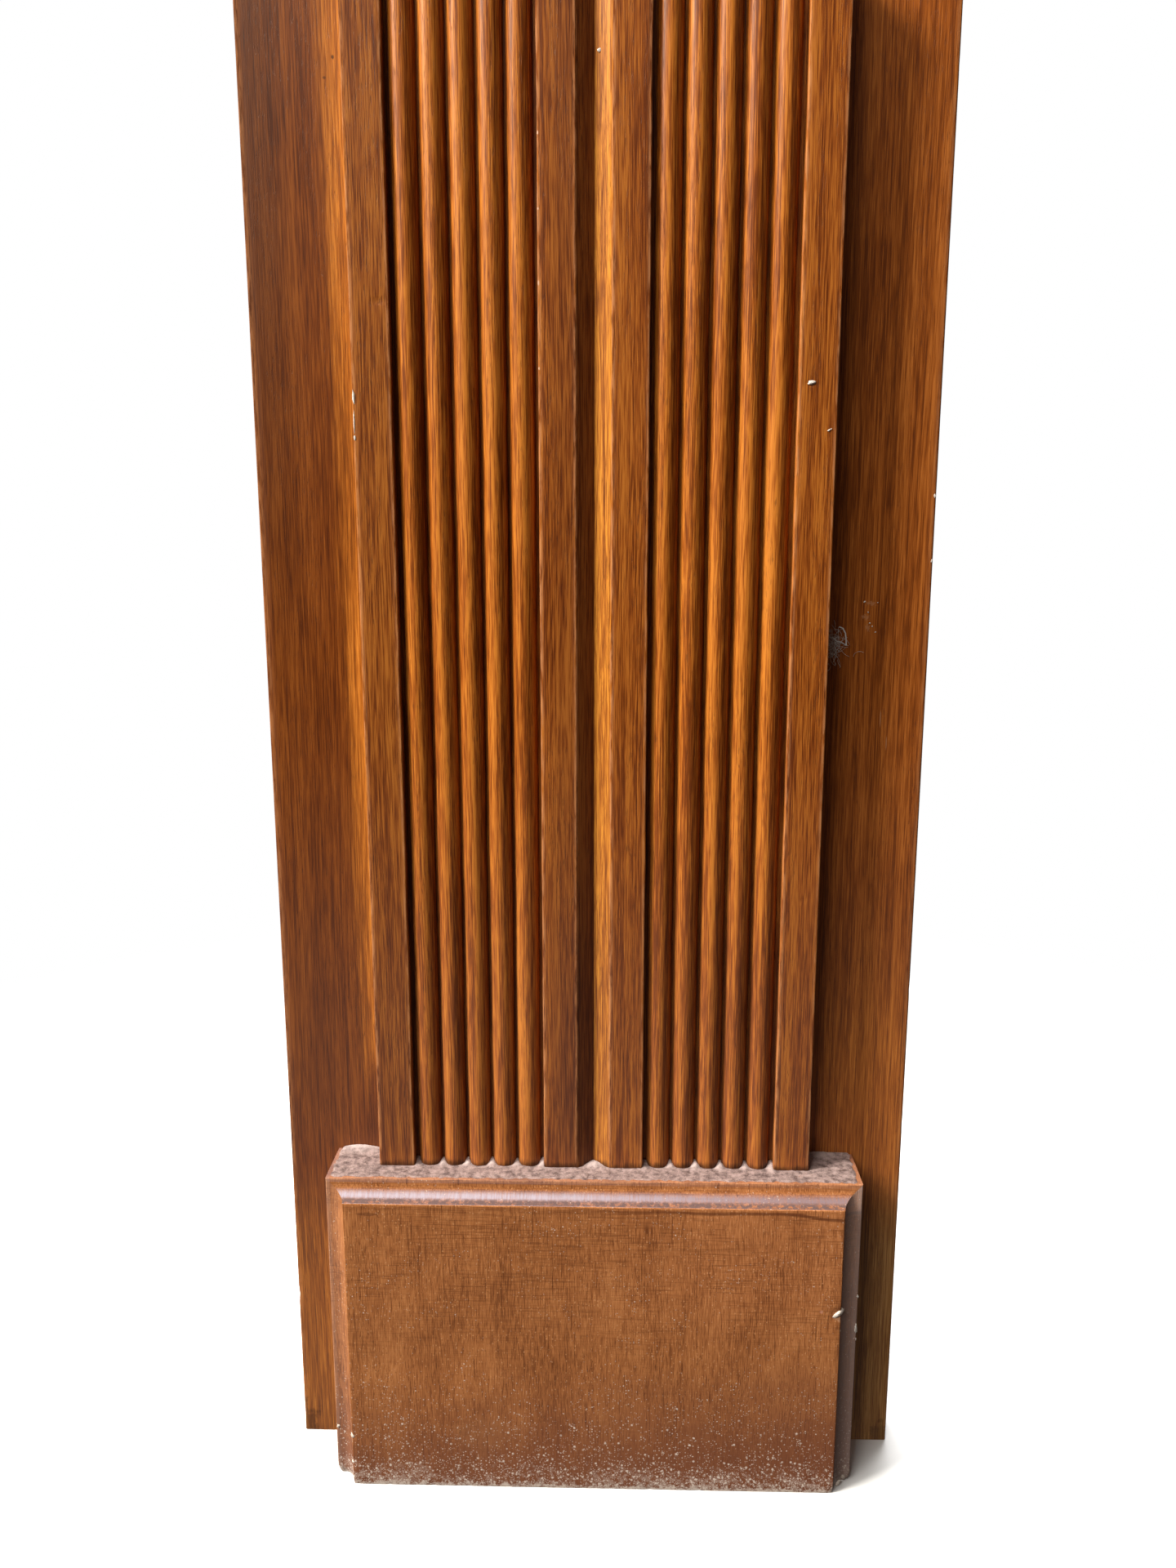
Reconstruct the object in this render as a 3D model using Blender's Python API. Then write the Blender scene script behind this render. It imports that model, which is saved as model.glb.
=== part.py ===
"""The lower part of one fireplace mantel leg, cut square at its top.

A flat back board carries a reeded pilaster, which stands on a plinth block with a small coved
edge. The front looks along -Y, the leg stands on z = 0, and the origin is the middle of the
leg's footprint. All sizes are in metres.
"""

import math

import bmesh
import bpy

# Upright sizes
LEG_HEIGHT = 0.665
PLINTH_HEIGHT = 0.1552

# Clearance left wherever two pieces touch
FIT_GAP = 0.0003

# Widths across one half of the pilaster, from its centre line outwards
GROOVE_WIDTH = 0.0152
INNER_STILE_WIDTH = 0.0153
OUTER_STILE_WIDTH = 0.0164
REED_COUNT = 5
REED_PITCH = 0.0116
REED_VALLEY = 0.0009
REED_FIELD_MARGIN = 0.00135

# Depths into the pilaster, from the face of its stiles
GROOVE_DEPTH = 0.0050
WOOD_BEHIND_GROOVE = 0.0115
REED_SETBACK = 0.0006
STILE_EASING = 0.0006

# Plinth block: how far it passes the pilaster's sides, and the shape of its worked edge
PLINTH_RETURN = 0.0229
PLINTH_PROJECTION = 0.0283
EDGE_FLAT = 0.0019
COVE_RADIUS = 0.0070
PLINTH_EASING = 0.0005

# Back board: its margin is counted from the plinth block's sides
BOARD_MARGIN = 0.0235
BOARD_THICKNESS = 0.0200
BOARD_EASING = 0.0010

# Facets on the curves
REED_FACETS = 14
COVE_FACETS = 8
EASING_FACETS = 2

# Sizes that follow from the ones above
REED_RADIUS = (REED_PITCH - REED_VALLEY) / 2
VALLEY_DEPTH = REED_SETBACK + REED_RADIUS
REED_FIELD_WIDTH = REED_COUNT * REED_PITCH + 2 * REED_FIELD_MARGIN
PILASTER_HALF = GROOVE_WIDTH / 2 + INNER_STILE_WIDTH + REED_FIELD_WIDTH + OUTER_STILE_WIDTH
PILASTER_THICKNESS = GROOVE_DEPTH + WOOD_BEHIND_GROOVE
PILASTER_FOOT = PLINTH_HEIGHT + FIT_GAP
PLINTH_HALF = PILASTER_HALF + PLINTH_RETURN
PLINTH_FACE_PROJECTION = PLINTH_PROJECTION + COVE_RADIUS
BOARD_HALF = PLINTH_HALF + BOARD_MARGIN
BACK_Y = (BOARD_THICKNESS + PLINTH_FACE_PROJECTION) / 2
BOARD_FRONT_Y = BACK_Y - BOARD_THICKNESS

# Colour, roughness and metallic value of each piece's finish
BOARD_FINISH = ((0.150, 0.055, 0.020), 0.38, 0.0)
PILASTER_FINISH = ((0.270, 0.095, 0.027), 0.34, 0.0)
PLINTH_FINISH = ((0.215, 0.085, 0.030), 0.40, 0.0)


def clear_scene():
    """Remove every object that is already in the scene."""
    for item in list(bpy.data.objects):
        bpy.data.objects.remove(item, do_unlink=True)


def arc(centre, radius, start, end, facets):
    """Return the points of an arc, with both of its ends, at angles in degrees."""
    points = []
    for step in range(facets + 1):
        angle = math.radians(start + (end - start) * step / facets)
        across = centre[0] + radius * math.cos(angle)
        along = centre[1] + radius * math.sin(angle)
        points.append((across, along))
    return points


def eased_corner(before, corner, after, radius):
    """Return the points of a small round that takes the sharpness off a corner."""
    to_before = (before[0] - corner[0], before[1] - corner[1])
    to_after = (after[0] - corner[0], after[1] - corner[1])
    first = math.atan2(to_before[1], to_before[0])
    second = math.atan2(to_after[1], to_after[0])
    turn = (second - first + math.pi) % (2 * math.pi) - math.pi
    middle = first + turn / 2
    reach = radius / math.sin(abs(turn) / 2)
    centre = (corner[0] + reach * math.cos(middle), corner[1] + reach * math.sin(middle))
    sweep = math.copysign(math.pi - abs(turn), turn)
    facing = middle + math.pi
    start = math.degrees(facing + sweep / 2)
    end = math.degrees(facing - sweep / 2)
    return arc(centre, radius, start, end, EASING_FACETS)


def ease_outline(corners):
    """Replace each corner that has an easing with a small round.

    Each corner is (across, along, easing), and an easing of 0 leaves it sharp.
    """
    points = []
    for index, (across, along, easing) in enumerate(corners):
        if easing:
            before = corners[index - 1][:2]
            after = corners[(index + 1) % len(corners)][:2]
            points += eased_corner(before, (across, along), after, easing)
        else:
            points.append((across, along))
    return points


def reed_arcs(field_start):
    """Return the fronts of one field of reeds, as corners with no easing."""
    corners = []
    for index in range(REED_COUNT):
        middle = field_start + REED_FIELD_MARGIN + (index + 0.5) * REED_PITCH
        for across, rise in arc((middle, 0.0), REED_RADIUS, 180, 0, REED_FACETS):
            corners.append((across, VALLEY_DEPTH - rise, 0.0))
    return corners


def half_section():
    """Return one half of the pilaster's front, from beside the groove out to its back corner."""
    stile_start = GROOVE_WIDTH / 2
    field_start = stile_start + INNER_STILE_WIDTH
    field_end = field_start + REED_FIELD_WIDTH
    corners = [(stile_start, 0.0, STILE_EASING)]
    corners.append((field_start, 0.0, STILE_EASING))
    corners.append((field_start, VALLEY_DEPTH, 0.0))
    corners += reed_arcs(field_start)
    corners.append((field_end, VALLEY_DEPTH, 0.0))
    corners.append((field_end, 0.0, STILE_EASING))
    corners.append((PILASTER_HALF, 0.0, STILE_EASING))
    corners.append((PILASTER_HALF, PILASTER_THICKNESS, 0.0))
    return corners


def pilaster_section():
    """Return the pilaster's whole section: across, and depth from the stile face."""
    right = half_section()
    left = [(-across, depth, easing) for across, depth, easing in reversed(right)]
    bottom_of_groove = [(0.0, GROOVE_DEPTH, 0.0)]
    return ease_outline(left + bottom_of_groove + right)


def worked_edge():
    """Return the plinth block's edge: inset from its sides, and projection from the board."""
    cove_start = EDGE_FLAT
    cove_end = EDGE_FLAT + COVE_RADIUS
    corners = [(0.0, FIT_GAP, 0.0)]
    corners.append((0.0, PLINTH_PROJECTION, PLINTH_EASING))
    corners.append((cove_start, PLINTH_PROJECTION, 0.0))
    centre = (cove_start, PLINTH_FACE_PROJECTION)
    cove = arc(centre, COVE_RADIUS, -90, 0, COVE_FACETS)
    corners += [(inset, projection, 0.0) for inset, projection in cove[1:-1]]
    corners.append((cove_end, PLINTH_FACE_PROJECTION, PLINTH_EASING))
    corners.append((PLINTH_HALF, PLINTH_FACE_PROJECTION, 0.0))
    return ease_outline(corners)[:-1]


def finish_material(name, finish):
    """Return a plain material with one colour, roughness and metallic value."""
    colour, roughness, metallic = finish
    material = bpy.data.materials.new(name)
    material.use_nodes = True
    shader = material.node_tree.nodes["Principled BSDF"]
    shader.inputs["Base Color"].default_value = (*colour, 1.0)
    shader.inputs["Roughness"].default_value = roughness
    shader.inputs["Metallic"].default_value = metallic
    return material


def add_piece(name, form, finish, place, parent):
    """Turn a bmesh into a named object with its own finish, at its place under the parent."""
    bmesh.ops.recalc_face_normals(form, faces=form.faces)
    mesh = bpy.data.meshes.new(name)
    form.to_mesh(mesh)
    form.free()
    mesh.shade_smooth()
    mesh.set_sharp_from_angle(angle=math.radians(35))
    mesh.materials.append(finish_material(name + "_finish", finish))
    piece = bpy.data.objects.new(name, mesh)
    piece.location = place
    piece.parent = parent
    bpy.context.collection.objects.link(piece)
    return piece


def board_form():
    """Build the back board upright on its origin, with its four upright edges eased."""
    form = bmesh.new()
    bmesh.ops.create_cube(form, size=1.0)
    size = (2 * BOARD_HALF, BOARD_THICKNESS, LEG_HEIGHT)
    bmesh.ops.scale(form, vec=size, verts=form.verts)
    bmesh.ops.translate(form, vec=(0, 0, LEG_HEIGHT / 2), verts=form.verts)
    upright = []
    for edge in form.edges:
        low, high = edge.verts
        if abs(low.co.z - high.co.z) > LEG_HEIGHT / 2:
            upright.append(edge)
    bmesh.ops.bevel(form, geom=upright, offset=BOARD_EASING, segments=EASING_FACETS,
                    profile=0.5, affect="EDGES")
    return form


def pilaster_form():
    """Extrude the pilaster's section upwards from its foot, with its stile faces at y = 0."""
    form = bmesh.new()
    foot = [form.verts.new((across, depth, 0.0)) for across, depth in pilaster_section()]
    face = form.faces.new(foot)
    raised = bmesh.ops.extrude_face_region(form, geom=[face])
    top = [part for part in raised["geom"] if isinstance(part, bmesh.types.BMVert)]
    bmesh.ops.translate(form, vec=(0, 0, LEG_HEIGHT - PILASTER_FOOT), verts=top)
    return form


def plinth_form():
    """Wrap the worked edge around the plinth block's two sides and top, mitred at the corners."""
    form = bmesh.new()
    rows = []
    for inset, projection in worked_edge():
        half = PLINTH_HALF - inset
        top = PLINTH_HEIGHT - inset
        corners = ((-half, 0.0), (-half, top), (half, top), (half, 0.0))
        rows.append([form.verts.new((x, -projection, z)) for x, z in corners])
    for row, following in zip(rows, rows[1:]):
        for side in range(3):
            loop = (row[side], row[side + 1], following[side + 1], following[side])
            form.faces.new(loop)
    form.faces.new(rows[0])
    form.faces.new(rows[-1])
    left_foot = [row[0] for row in rows]
    right_foot = [row[3] for row in reversed(rows)]
    form.faces.new(left_foot + right_foot)
    return form


def build():
    """Build the three pieces of the leg."""
    clear_scene()
    leg = bpy.data.objects.new("mantel_leg", None)
    bpy.context.collection.objects.link(leg)
    board_place = (0.0, BACK_Y - BOARD_THICKNESS / 2, 0.0)
    add_piece("back_board", board_form(), BOARD_FINISH, board_place, leg)
    pilaster_place = (0.0, BOARD_FRONT_Y - FIT_GAP - PILASTER_THICKNESS, PILASTER_FOOT)
    add_piece("reeded_pilaster", pilaster_form(), PILASTER_FINISH, pilaster_place, leg)
    plinth_place = (0.0, BOARD_FRONT_Y, 0.0)
    add_piece("plinth_block", plinth_form(), PLINTH_FINISH, plinth_place, leg)


build()
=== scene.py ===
"""Dressed model of the lower part of one fireplace mantel leg.

A flat back board carries a reeded pilaster, which stands on a plinth block with a small coved
edge. Dust, lint and flecks of plaster lie where they have settled. Sizes are in metres.
"""

import logging
import math
from dataclasses import dataclass
from enum import Enum
from typing import Any, Optional, Sequence, Union

import bmesh
import bpy
import numpy as np
from mathutils import Matrix, Vector

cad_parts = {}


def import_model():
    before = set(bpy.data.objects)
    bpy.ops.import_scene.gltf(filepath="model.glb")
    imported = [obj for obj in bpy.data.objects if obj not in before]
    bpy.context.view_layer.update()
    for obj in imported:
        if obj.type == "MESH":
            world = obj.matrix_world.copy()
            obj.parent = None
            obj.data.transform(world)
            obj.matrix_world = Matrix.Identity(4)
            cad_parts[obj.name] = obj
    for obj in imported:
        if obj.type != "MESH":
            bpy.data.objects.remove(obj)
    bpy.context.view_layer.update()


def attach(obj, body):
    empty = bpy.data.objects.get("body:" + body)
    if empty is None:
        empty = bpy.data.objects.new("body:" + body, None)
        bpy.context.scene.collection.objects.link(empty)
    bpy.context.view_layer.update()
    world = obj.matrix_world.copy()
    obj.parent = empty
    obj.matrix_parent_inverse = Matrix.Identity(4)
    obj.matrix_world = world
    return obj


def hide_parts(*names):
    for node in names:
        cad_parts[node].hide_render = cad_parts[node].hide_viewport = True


LOG = logging.getLogger("mantel_leg")

Colour = tuple[float, float, float]
Point = tuple[float, float, float]
Operand = Union["Value", float]
Face = tuple[int, ...]
EdgePoint = tuple[float, float, float, float]
Socket = bpy.types.NodeSocket

BODY = "root"
WHITE: Colour = (1.0, 1.0, 1.0)


class Slot(Enum):
    """The finishes that the record names."""

    BOARD = "board_wood"
    PILASTER = "pilaster_wood"
    PLINTH = "plinth_wood"


class Mark(Enum):
    """What a point of a mesh tells its finish."""

    WEAR = "wear"
    HOLLOW = "hollow"
    LEDGE = "ledge"


class Value:
    """A number that changes over a surface, with arithmetic that adds Math nodes."""

    def __init__(self, graph: "Graph", socket: Socket) -> None:
        """Keep the socket and the graph that it belongs to."""
        self.graph = graph
        self.socket = socket

    def calculate(self, operation: str, *operands: Operand, clamp: bool = False) -> "Value":
        """Add one Math node.

        Args:
            operation: The Math node's operation.
            operands: Its operands, in order.
            clamp: True to keep the result from 0 to 1.

        Returns:
            The node's result.
        """
        settings = {"operation": operation, "use_clamp": clamp}
        made = self.graph.node("ShaderNodeMath", settings, dict(enumerate(operands)))
        return Value(self.graph, made.outputs[0])

    def __add__(self, other: Operand) -> "Value":
        """Return self + other."""
        return self.calculate("ADD", self, other)

    def __radd__(self, other: Operand) -> "Value":
        """Return other + self."""
        return self.calculate("ADD", other, self)

    def __sub__(self, other: Operand) -> "Value":
        """Return self - other."""
        return self.calculate("SUBTRACT", self, other)

    def __rsub__(self, other: Operand) -> "Value":
        """Return other - self."""
        return self.calculate("SUBTRACT", other, self)

    def __mul__(self, other: Operand) -> "Value":
        """Return self * other."""
        return self.calculate("MULTIPLY", self, other)

    def __rmul__(self, other: Operand) -> "Value":
        """Return other * self."""
        return self.calculate("MULTIPLY", other, self)

    def limited(self) -> "Value":
        """Return the number kept from 0 to 1."""
        return self.calculate("ADD", self, 0.0, clamp=True)

    def magnitude(self) -> "Value":
        """Return the number without its sign."""
        return self.calculate("ABSOLUTE", self)

    def rise(self, start: float, end: float) -> "Value":
        """Return a smooth step.

        Args:
            start: Where the result is still 0.
            end: Where the result has reached 1. It may be below start.

        Returns:
            The step, from 0 to 1.
        """
        low, high = min(start, end), max(start, end)
        settings = {"interpolation_type": "SMOOTHSTEP"}
        outcome = (0.0, 1.0) if end > start else (1.0, 0.0)
        inputs = {0: self, 1: low, 2: high, 3: outcome[0], 4: outcome[1]}
        made = self.graph.node("ShaderNodeMapRange", settings, inputs)
        return Value(self.graph, made.outputs[0])


class Graph:
    """The node tree of one finish, and the few ways in which nodes are added to it."""

    def __init__(self, tree: bpy.types.NodeTree) -> None:
        """Start with an empty tree."""
        self.tree = tree
        self.tree.nodes.clear()

    def node(
        self,
        kind: str,
        settings: Optional[dict[str, Any]] = None,
        inputs: Optional[dict[Union[str, int], Any]] = None,
    ) -> bpy.types.Node:
        """Add one node.

        Args:
            kind: The node's type.
            settings: Its settings, which are set first. A ramp's stops go under "stops".
            inputs: The values or links of its sockets, by name or place.

        Returns:
            The node.
        """
        made = self.tree.nodes.new(kind)
        for name, value in (settings or {}).items():
            if name == "stops":
                self.set_stops(made, value)
            else:
                setattr(made, name, value)
        for key, value in (inputs or {}).items():
            self.feed(made.inputs[key], value)
        return made

    def set_stops(self, ramp: bpy.types.Node, stops: Sequence[tuple[float, Colour]]) -> None:
        """Give a ramp its stops.

        Args:
            ramp: The ramp's node.
            stops: Its stops, each a place from 0 to 1 and a colour.
        """
        elements = ramp.color_ramp.elements
        while len(elements) < len(stops):
            elements.new(1.0)
        for element, (place, colour) in zip(elements, stops):
            element.position = place
            element.color = (*colour, 1.0)

    def feed(self, socket: Socket, value: Any) -> None:
        """Link a socket, or set its own value.

        Args:
            socket: The socket.
            value: A link, a number, a colour or a vector.
        """
        if isinstance(value, Value):
            value = value.socket
        if isinstance(value, Socket):
            self.tree.links.new(value, socket)
        elif socket.type == "RGBA" and len(value) == 3:
            socket.default_value = (*value, 1.0)
        else:
            socket.default_value = value

    def place(self) -> Socket:
        """Return each point's own place, in metres."""
        return self.node("ShaderNodeTexCoord").outputs["Object"]

    def vectors(self, operation: str, *operands: Any) -> bpy.types.Node:
        """Return a new Vector Math node."""
        return self.node("ShaderNodeVectorMath", {"operation": operation}, dict(enumerate(operands)))

    def shifted(self, vector: Socket, shift: Any) -> Socket:
        """Return the vector with another one added."""
        return self.vectors("ADD", vector, shift).outputs[0]

    def scaled(self, vector: Socket, scale: Point) -> Socket:
        """Return the vector multiplied axis by axis."""
        return self.vectors("MULTIPLY", vector, scale).outputs[0]

    def length(self, vector: Socket) -> Value:
        """Return the vector's length."""
        return Value(self, self.vectors("LENGTH", vector).outputs["Value"])

    def axes(self, vector: Socket) -> tuple[Value, Value, Value]:
        """Return the vector's three parts."""
        made = self.node("ShaderNodeSeparateXYZ", None, {0: vector})
        return tuple(Value(self, made.outputs[axis]) for axis in range(3))

    def mark(self, mark: Mark) -> Value:
        """Return what the mesh's points say under this mark."""
        made = self.node("ShaderNodeAttribute", {"attribute_name": mark.value})
        return Value(self, made.outputs["Fac"])

    def noise(
        self, vector: Socket, scale: Point, detail: float = 2.0, rough: float = 0.5
    ) -> Value:
        """Add a Noise Texture.

        Args:
            vector: Where it is read.
            scale: Features per metre along each axis.
            detail: How many finer layers it has.
            rough: How strong the finer layers are.

        Returns:
            The noise, from 0 to 1 and mostly near a half.
        """
        inputs = {"Vector": self.scaled(vector, scale), "Scale": 1.0}
        inputs |= {"Detail": detail, "Roughness": rough}
        return Value(self, self.node("ShaderNodeTexNoise", None, inputs).outputs["Fac"])

    def grains(self, vector: Socket, scale: Point) -> tuple[Value, Value]:
        """Scatter small grains.

        Args:
            vector: Where they are read.
            scale: Grains per metre along each axis.

        Returns:
            The distance to the nearest grain, in grain spacings, and that grain's own number.
        """
        inputs = {"Vector": self.scaled(vector, scale), "Scale": 1.0}
        made = self.node("ShaderNodeTexVoronoi", {"feature": "F1"}, inputs)
        own = self.axes(made.outputs["Color"])[0]
        return Value(self, made.outputs["Distance"]), own

    def ramp(self, value: Value, stops: Sequence[tuple[float, Colour]]) -> Socket:
        """Return the colour that a ramp gives for a number."""
        return self.node("ShaderNodeValToRGB", {"stops": stops}, {0: value}).outputs[0]

    def blend(self, under: Any, over: Any, share: Operand, mode: str = "MIX") -> Any:
        """Lay one colour over another.

        Args:
            under: The colour below.
            over: The colour on top.
            share: How much of the top one shows, from 0 to 1.
            mode: The Mix node's way of blending.

        Returns:
            The blended colour.
        """
        settings = {"data_type": "RGBA", "blend_type": mode, "clamp_factor": True}
        return self.node("ShaderNodeMix", settings, {0: share, 6: under, 7: over}).outputs[2]

    def overlaid(
        self, colour: Any, layers: Sequence[tuple[Any, Operand]], mode: str = "MIX"
    ) -> Any:
        """Lay several colours over another, one after the other.

        Args:
            colour: The colour below.
            layers: Each colour on top and how much of it shows.
            mode: The Mix node's way of blending.

        Returns:
            The blended colour.
        """
        for over, share in layers:
            colour = self.blend(colour, over, share, mode)
        return colour

    def spot(self, centre: Point, size: Point, ragged: float) -> Value:
        """Mark out one rounded spot.

        Args:
            centre: Its middle.
            size: Its half size along each axis.
            ragged: How uneven its outline is, as a share of its size.

        Returns:
            1 inside the spot and 0 outside it.
        """
        away = self.shifted(self.place(), tuple(-part for part in centre))
        local = self.scaled(away, tuple(1 / part for part in size))
        uneven = self.noise(local, (1.4, 1.4, 1.4), 3.0, 0.65) - 0.5
        return (self.length(local) + uneven * (4 * ragged)).rise(1.0, 0.6)

    def bump(self, height: Value, distance: float, strength: float) -> Socket:
        """Return the normal of a surface with fine relief, whose distance is in metres."""
        inputs = {"Height": height, "Distance": distance, "Strength": strength}
        return self.node("ShaderNodeBump", None, inputs).outputs[0]

    def end(self, shader: bpy.types.Node, output: str = "ShaderNodeOutputMaterial") -> None:
        """Feed a shader to the tree's output."""
        self.node(output, None, {"Surface": shader.outputs[0]})


def new_material(name: str) -> tuple[bpy.types.Material, Graph]:
    """Start an empty material.

    Args:
        name: The material's name.

    Returns:
        The material and the graph that fills it.
    """
    material = bpy.data.materials.new(name)
    material.use_nodes = True
    return material, Graph(material.node_tree)


@dataclass(frozen=True)
class Finish:
    """A named finish with one Principled shader."""

    name: str

    def inputs(self, graph: Graph) -> dict[str, Any]:
        """Return what feeds the shader's sockets. Each kind of finish says this itself."""
        raise NotImplementedError

    def material(self) -> bpy.types.Material:
        """Build the finish.

        Returns:
            The finish as a new material.
        """
        material, graph = new_material(self.name)
        graph.end(graph.node("ShaderNodeBsdfPrincipled", None, self.inputs(graph)))
        return material


@dataclass
class Layers:
    """What a finish has built up so far at each point of a surface."""

    colour: Any
    roughness: Value
    relief: Value


@dataclass(frozen=True)
class Spot:
    """A small stain or bare place: its middle, half sizes, colour, strength and ragged edge."""

    centre: Point
    size: Point
    colour: Colour
    share: float
    ragged: float = 0.3


@dataclass(frozen=True)
class StainedWood(Finish):
    """Reddish-brown stained hardwood with upright grain, under a satin lacquer."""

    dark: Colour = (0.115, 0.023, 0.002)
    middle: Colour = (0.262, 0.064, 0.007)
    light: Colour = (0.430, 0.135, 0.017)
    pore: Colour = (0.050, 0.012, 0.003)
    worn: Colour = (0.560, 0.240, 0.095)
    # Dark colour for the hollows, where it is painted shade with some dirt, and for the stained foot
    # band.
    grime_and_shade: Colour = (0.018, 0.008, 0.005)
    film: Colour = (0.170, 0.115, 0.100)
    shift: Point = (0.0, 0.0, 0.0)
    stretch: Point = (1.0, 1.0, 1.0)
    spots: tuple[Spot, ...] = ()
    mottle: float = 1.1
    streaks: float = 1.5
    strands: float = 1.1
    fibres: float = 2.8
    pores: float = 0.48
    wear: float = 0.60
    low_film: float = 0.15
    roughness: float = 0.42
    coat: float = 0.06
    coat_roughness: float = 0.28
    gloss: float = 0.20
    gloss_tint: Colour = (1.0, 0.86, 0.72)

    def inputs(self, graph: Graph) -> dict[str, Any]:
        """Lay down the wood, what age has done to it, and the lacquer.

        Args:
            graph: The graph to add to.

        Returns:
            What feeds the shader's sockets.
        """
        place = graph.scaled(graph.shifted(graph.place(), self.shift), self.stretch)
        layers = self.finished(graph, self.grain(graph, place))
        return {
            "Base Color": layers.colour,
            "Roughness": layers.roughness,
            "Coat Weight": self.coat * (1 - graph.mark(Mark.WEAR)),
            "Coat Roughness": self.coat_roughness,
            "Specular IOR Level": self.gloss,
            "Specular Tint": self.gloss_tint,
            "Normal": graph.bump(layers.relief, 0.0002, 0.6),
        }

    def grain(self, graph: Graph, place: Socket) -> Layers:
        """Lay down the wood itself: broad mottle, streaks, strands, fibres and pores.

        Args:
            graph: The graph to add to.
            place: Where the wood is read, in metres.

        Returns:
            The wood's colour, roughness and relief.
        """
        drift = graph.noise(place, (14.0, 14.0, 3.0), 1.0)
        sway = graph.node("ShaderNodeCombineXYZ", None, {0: (drift - 0.5) * 0.006}).outputs[0]
        swayed = graph.shifted(place, sway)
        mottle = graph.noise(swayed, (34.0, 34.0, 6.0), 3.0, 0.6)
        streaks = graph.noise(swayed, (260.0, 260.0, 3.6), 3.0, 0.6)
        strands = graph.noise(swayed, (1200.0, 1200.0, 14.0), 3.0, 0.7)
        fibres = graph.noise(swayed, (2400.0, 2400.0, 55.0), 2.0, 0.65)
        clusters = graph.noise(swayed, (200.0, 200.0, 12.0), 2.0).rise(0.40, 0.60)
        dashes = graph.noise(swayed, (2600.0, 2600.0, 200.0), 1.5).rise(0.60, 0.68) * clusters
        tone = 0.5 + (mottle - 0.5) * self.mottle + (streaks - 0.5) * self.streaks
        tone = tone + (strands - 0.5) * self.strands + (fibres - 0.5) * self.fibres
        stops = ((0.12, self.dark), (0.5, self.middle), (0.9, self.light))
        colour = graph.ramp(tone.limited(), stops)
        colour = graph.blend(colour, self.pore, dashes * self.pores)
        roughness = self.roughness + (mottle - 0.5) * 0.20 + dashes * 0.15
        relief = fibres * 0.5 - dashes * 0.6
        return Layers(colour, roughness, relief)

    def finished(self, graph: Graph, layers: Layers) -> Layers:
        """Add what age has done: stain worn off the arrises, and dirt with painted shade darkening
        the hollows.

        Args:
            graph: The graph to add to.
            layers: The wood so far.

        Returns:
            The wood with its wear.
        """
        place = graph.place()
        patches = graph.noise(place, (900.0, 900.0, 90.0), 3.0, 0.6)
        arris = graph.mark(Mark.WEAR)
        worn = arris.rise(0.45, 0.95) * patches.rise(0.36, 0.62)
        low = graph.axes(place)[2].rise(0.40, 0.19)
        colour = graph.blend(layers.colour, self.film, low * self.low_film)
        colour = graph.blend(colour, self.worn, worn * self.wear)
        # Painted shade with some dirt: the hollows are darkened by their mark.
        patchy = graph.noise(place, (500.0, 500.0, 60.0), 3.0, 0.6)
        grime_and_shade = (graph.mark(Mark.HOLLOW) * (0.55 + patchy * 0.7)).limited()
        colour = graph.blend(colour, self.grime_and_shade, grime_and_shade * 0.9)
        for spot in self.spots:
            share = graph.spot(spot.centre, spot.size, spot.ragged) * spot.share
            colour = graph.blend(colour, spot.colour, share)
        roughness = layers.roughness + grime_and_shade * 0.25 + arris * 0.45
        return Layers(colour, roughness, layers.relief)


@dataclass(frozen=True)
class PilasterWood(StainedWood):
    """The pilaster's finish: painted light on the reeds and on the groove's right wall, painted shade
    on its left wall, and dirty water drawn up its foot.
    """

    foot: float = 0.1555
    groove_half: float = 0.0076
    # Painted light and shade: the groove's right wall, which faces the light, is lightened, its left
    # wall darkened, and the reeds lightened.
    groove_shaded_wall: Colour = (0.85, 0.88, 1.00)
    groove_lit_wall: Colour = (1.46, 1.76, 1.46)
    shaded_tint: Colour = (0.72, 0.70, 0.80)
    left_tint: Colour = (0.84, 0.86, 0.90)
    reed_painted_light: Colour = (1.22, 1.28, 1.22)
    reeds_start: float = 0.0229
    reeds_end: float = 0.0836

    def finished(self, graph: Graph, layers: Layers) -> Layers:
        """Add painted light to the reeds and the groove's right wall, painted shade to its left wall,
        and the stained band along the foot, to the usual wear.

        Args:
            graph: The graph to add to.
            layers: The wood so far.

        Returns:
            The wood with its wear.
        """
        across, _, height = graph.axes(graph.place())
        outward = across.magnitude()
        inside = outward.rise(self.groove_half, self.groove_half - 0.0006)
        right = across.rise(-0.0002, 0.0002)
        # The groove's lit right wall gets painted light and its left wall painted shade.
        tint = graph.blend(self.groove_shaded_wall, self.groove_lit_wall, right)
        reeded = outward.rise(self.reeds_start, self.reeds_start + 0.001)
        reeded = reeded * outward.rise(self.reeds_end + 0.001, self.reeds_end)
        shaded = across.rise(-0.0240, -0.0130) * (1 - right)
        leftmost = across.rise(-0.0800, -0.0860)
        tints = ((self.left_tint, leftmost), (self.shaded_tint, shaded), (tint, inside),
                 (self.reed_painted_light, reeded))
        layers.colour = graph.overlaid(layers.colour, tints, "MULTIPLY")
        layers.roughness = layers.roughness + inside * 0.22
        layers = super().finished(graph, layers)
        ragged = graph.noise(graph.place(), (300.0, 300.0, 120.0), 3.0, 0.6) * 0.006
        band = (height - self.foot + ragged - 0.003).rise(0.0034, 0.0)
        layers.colour = graph.blend(layers.colour, self.grime_and_shade, band * 0.80)
        return layers


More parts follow.
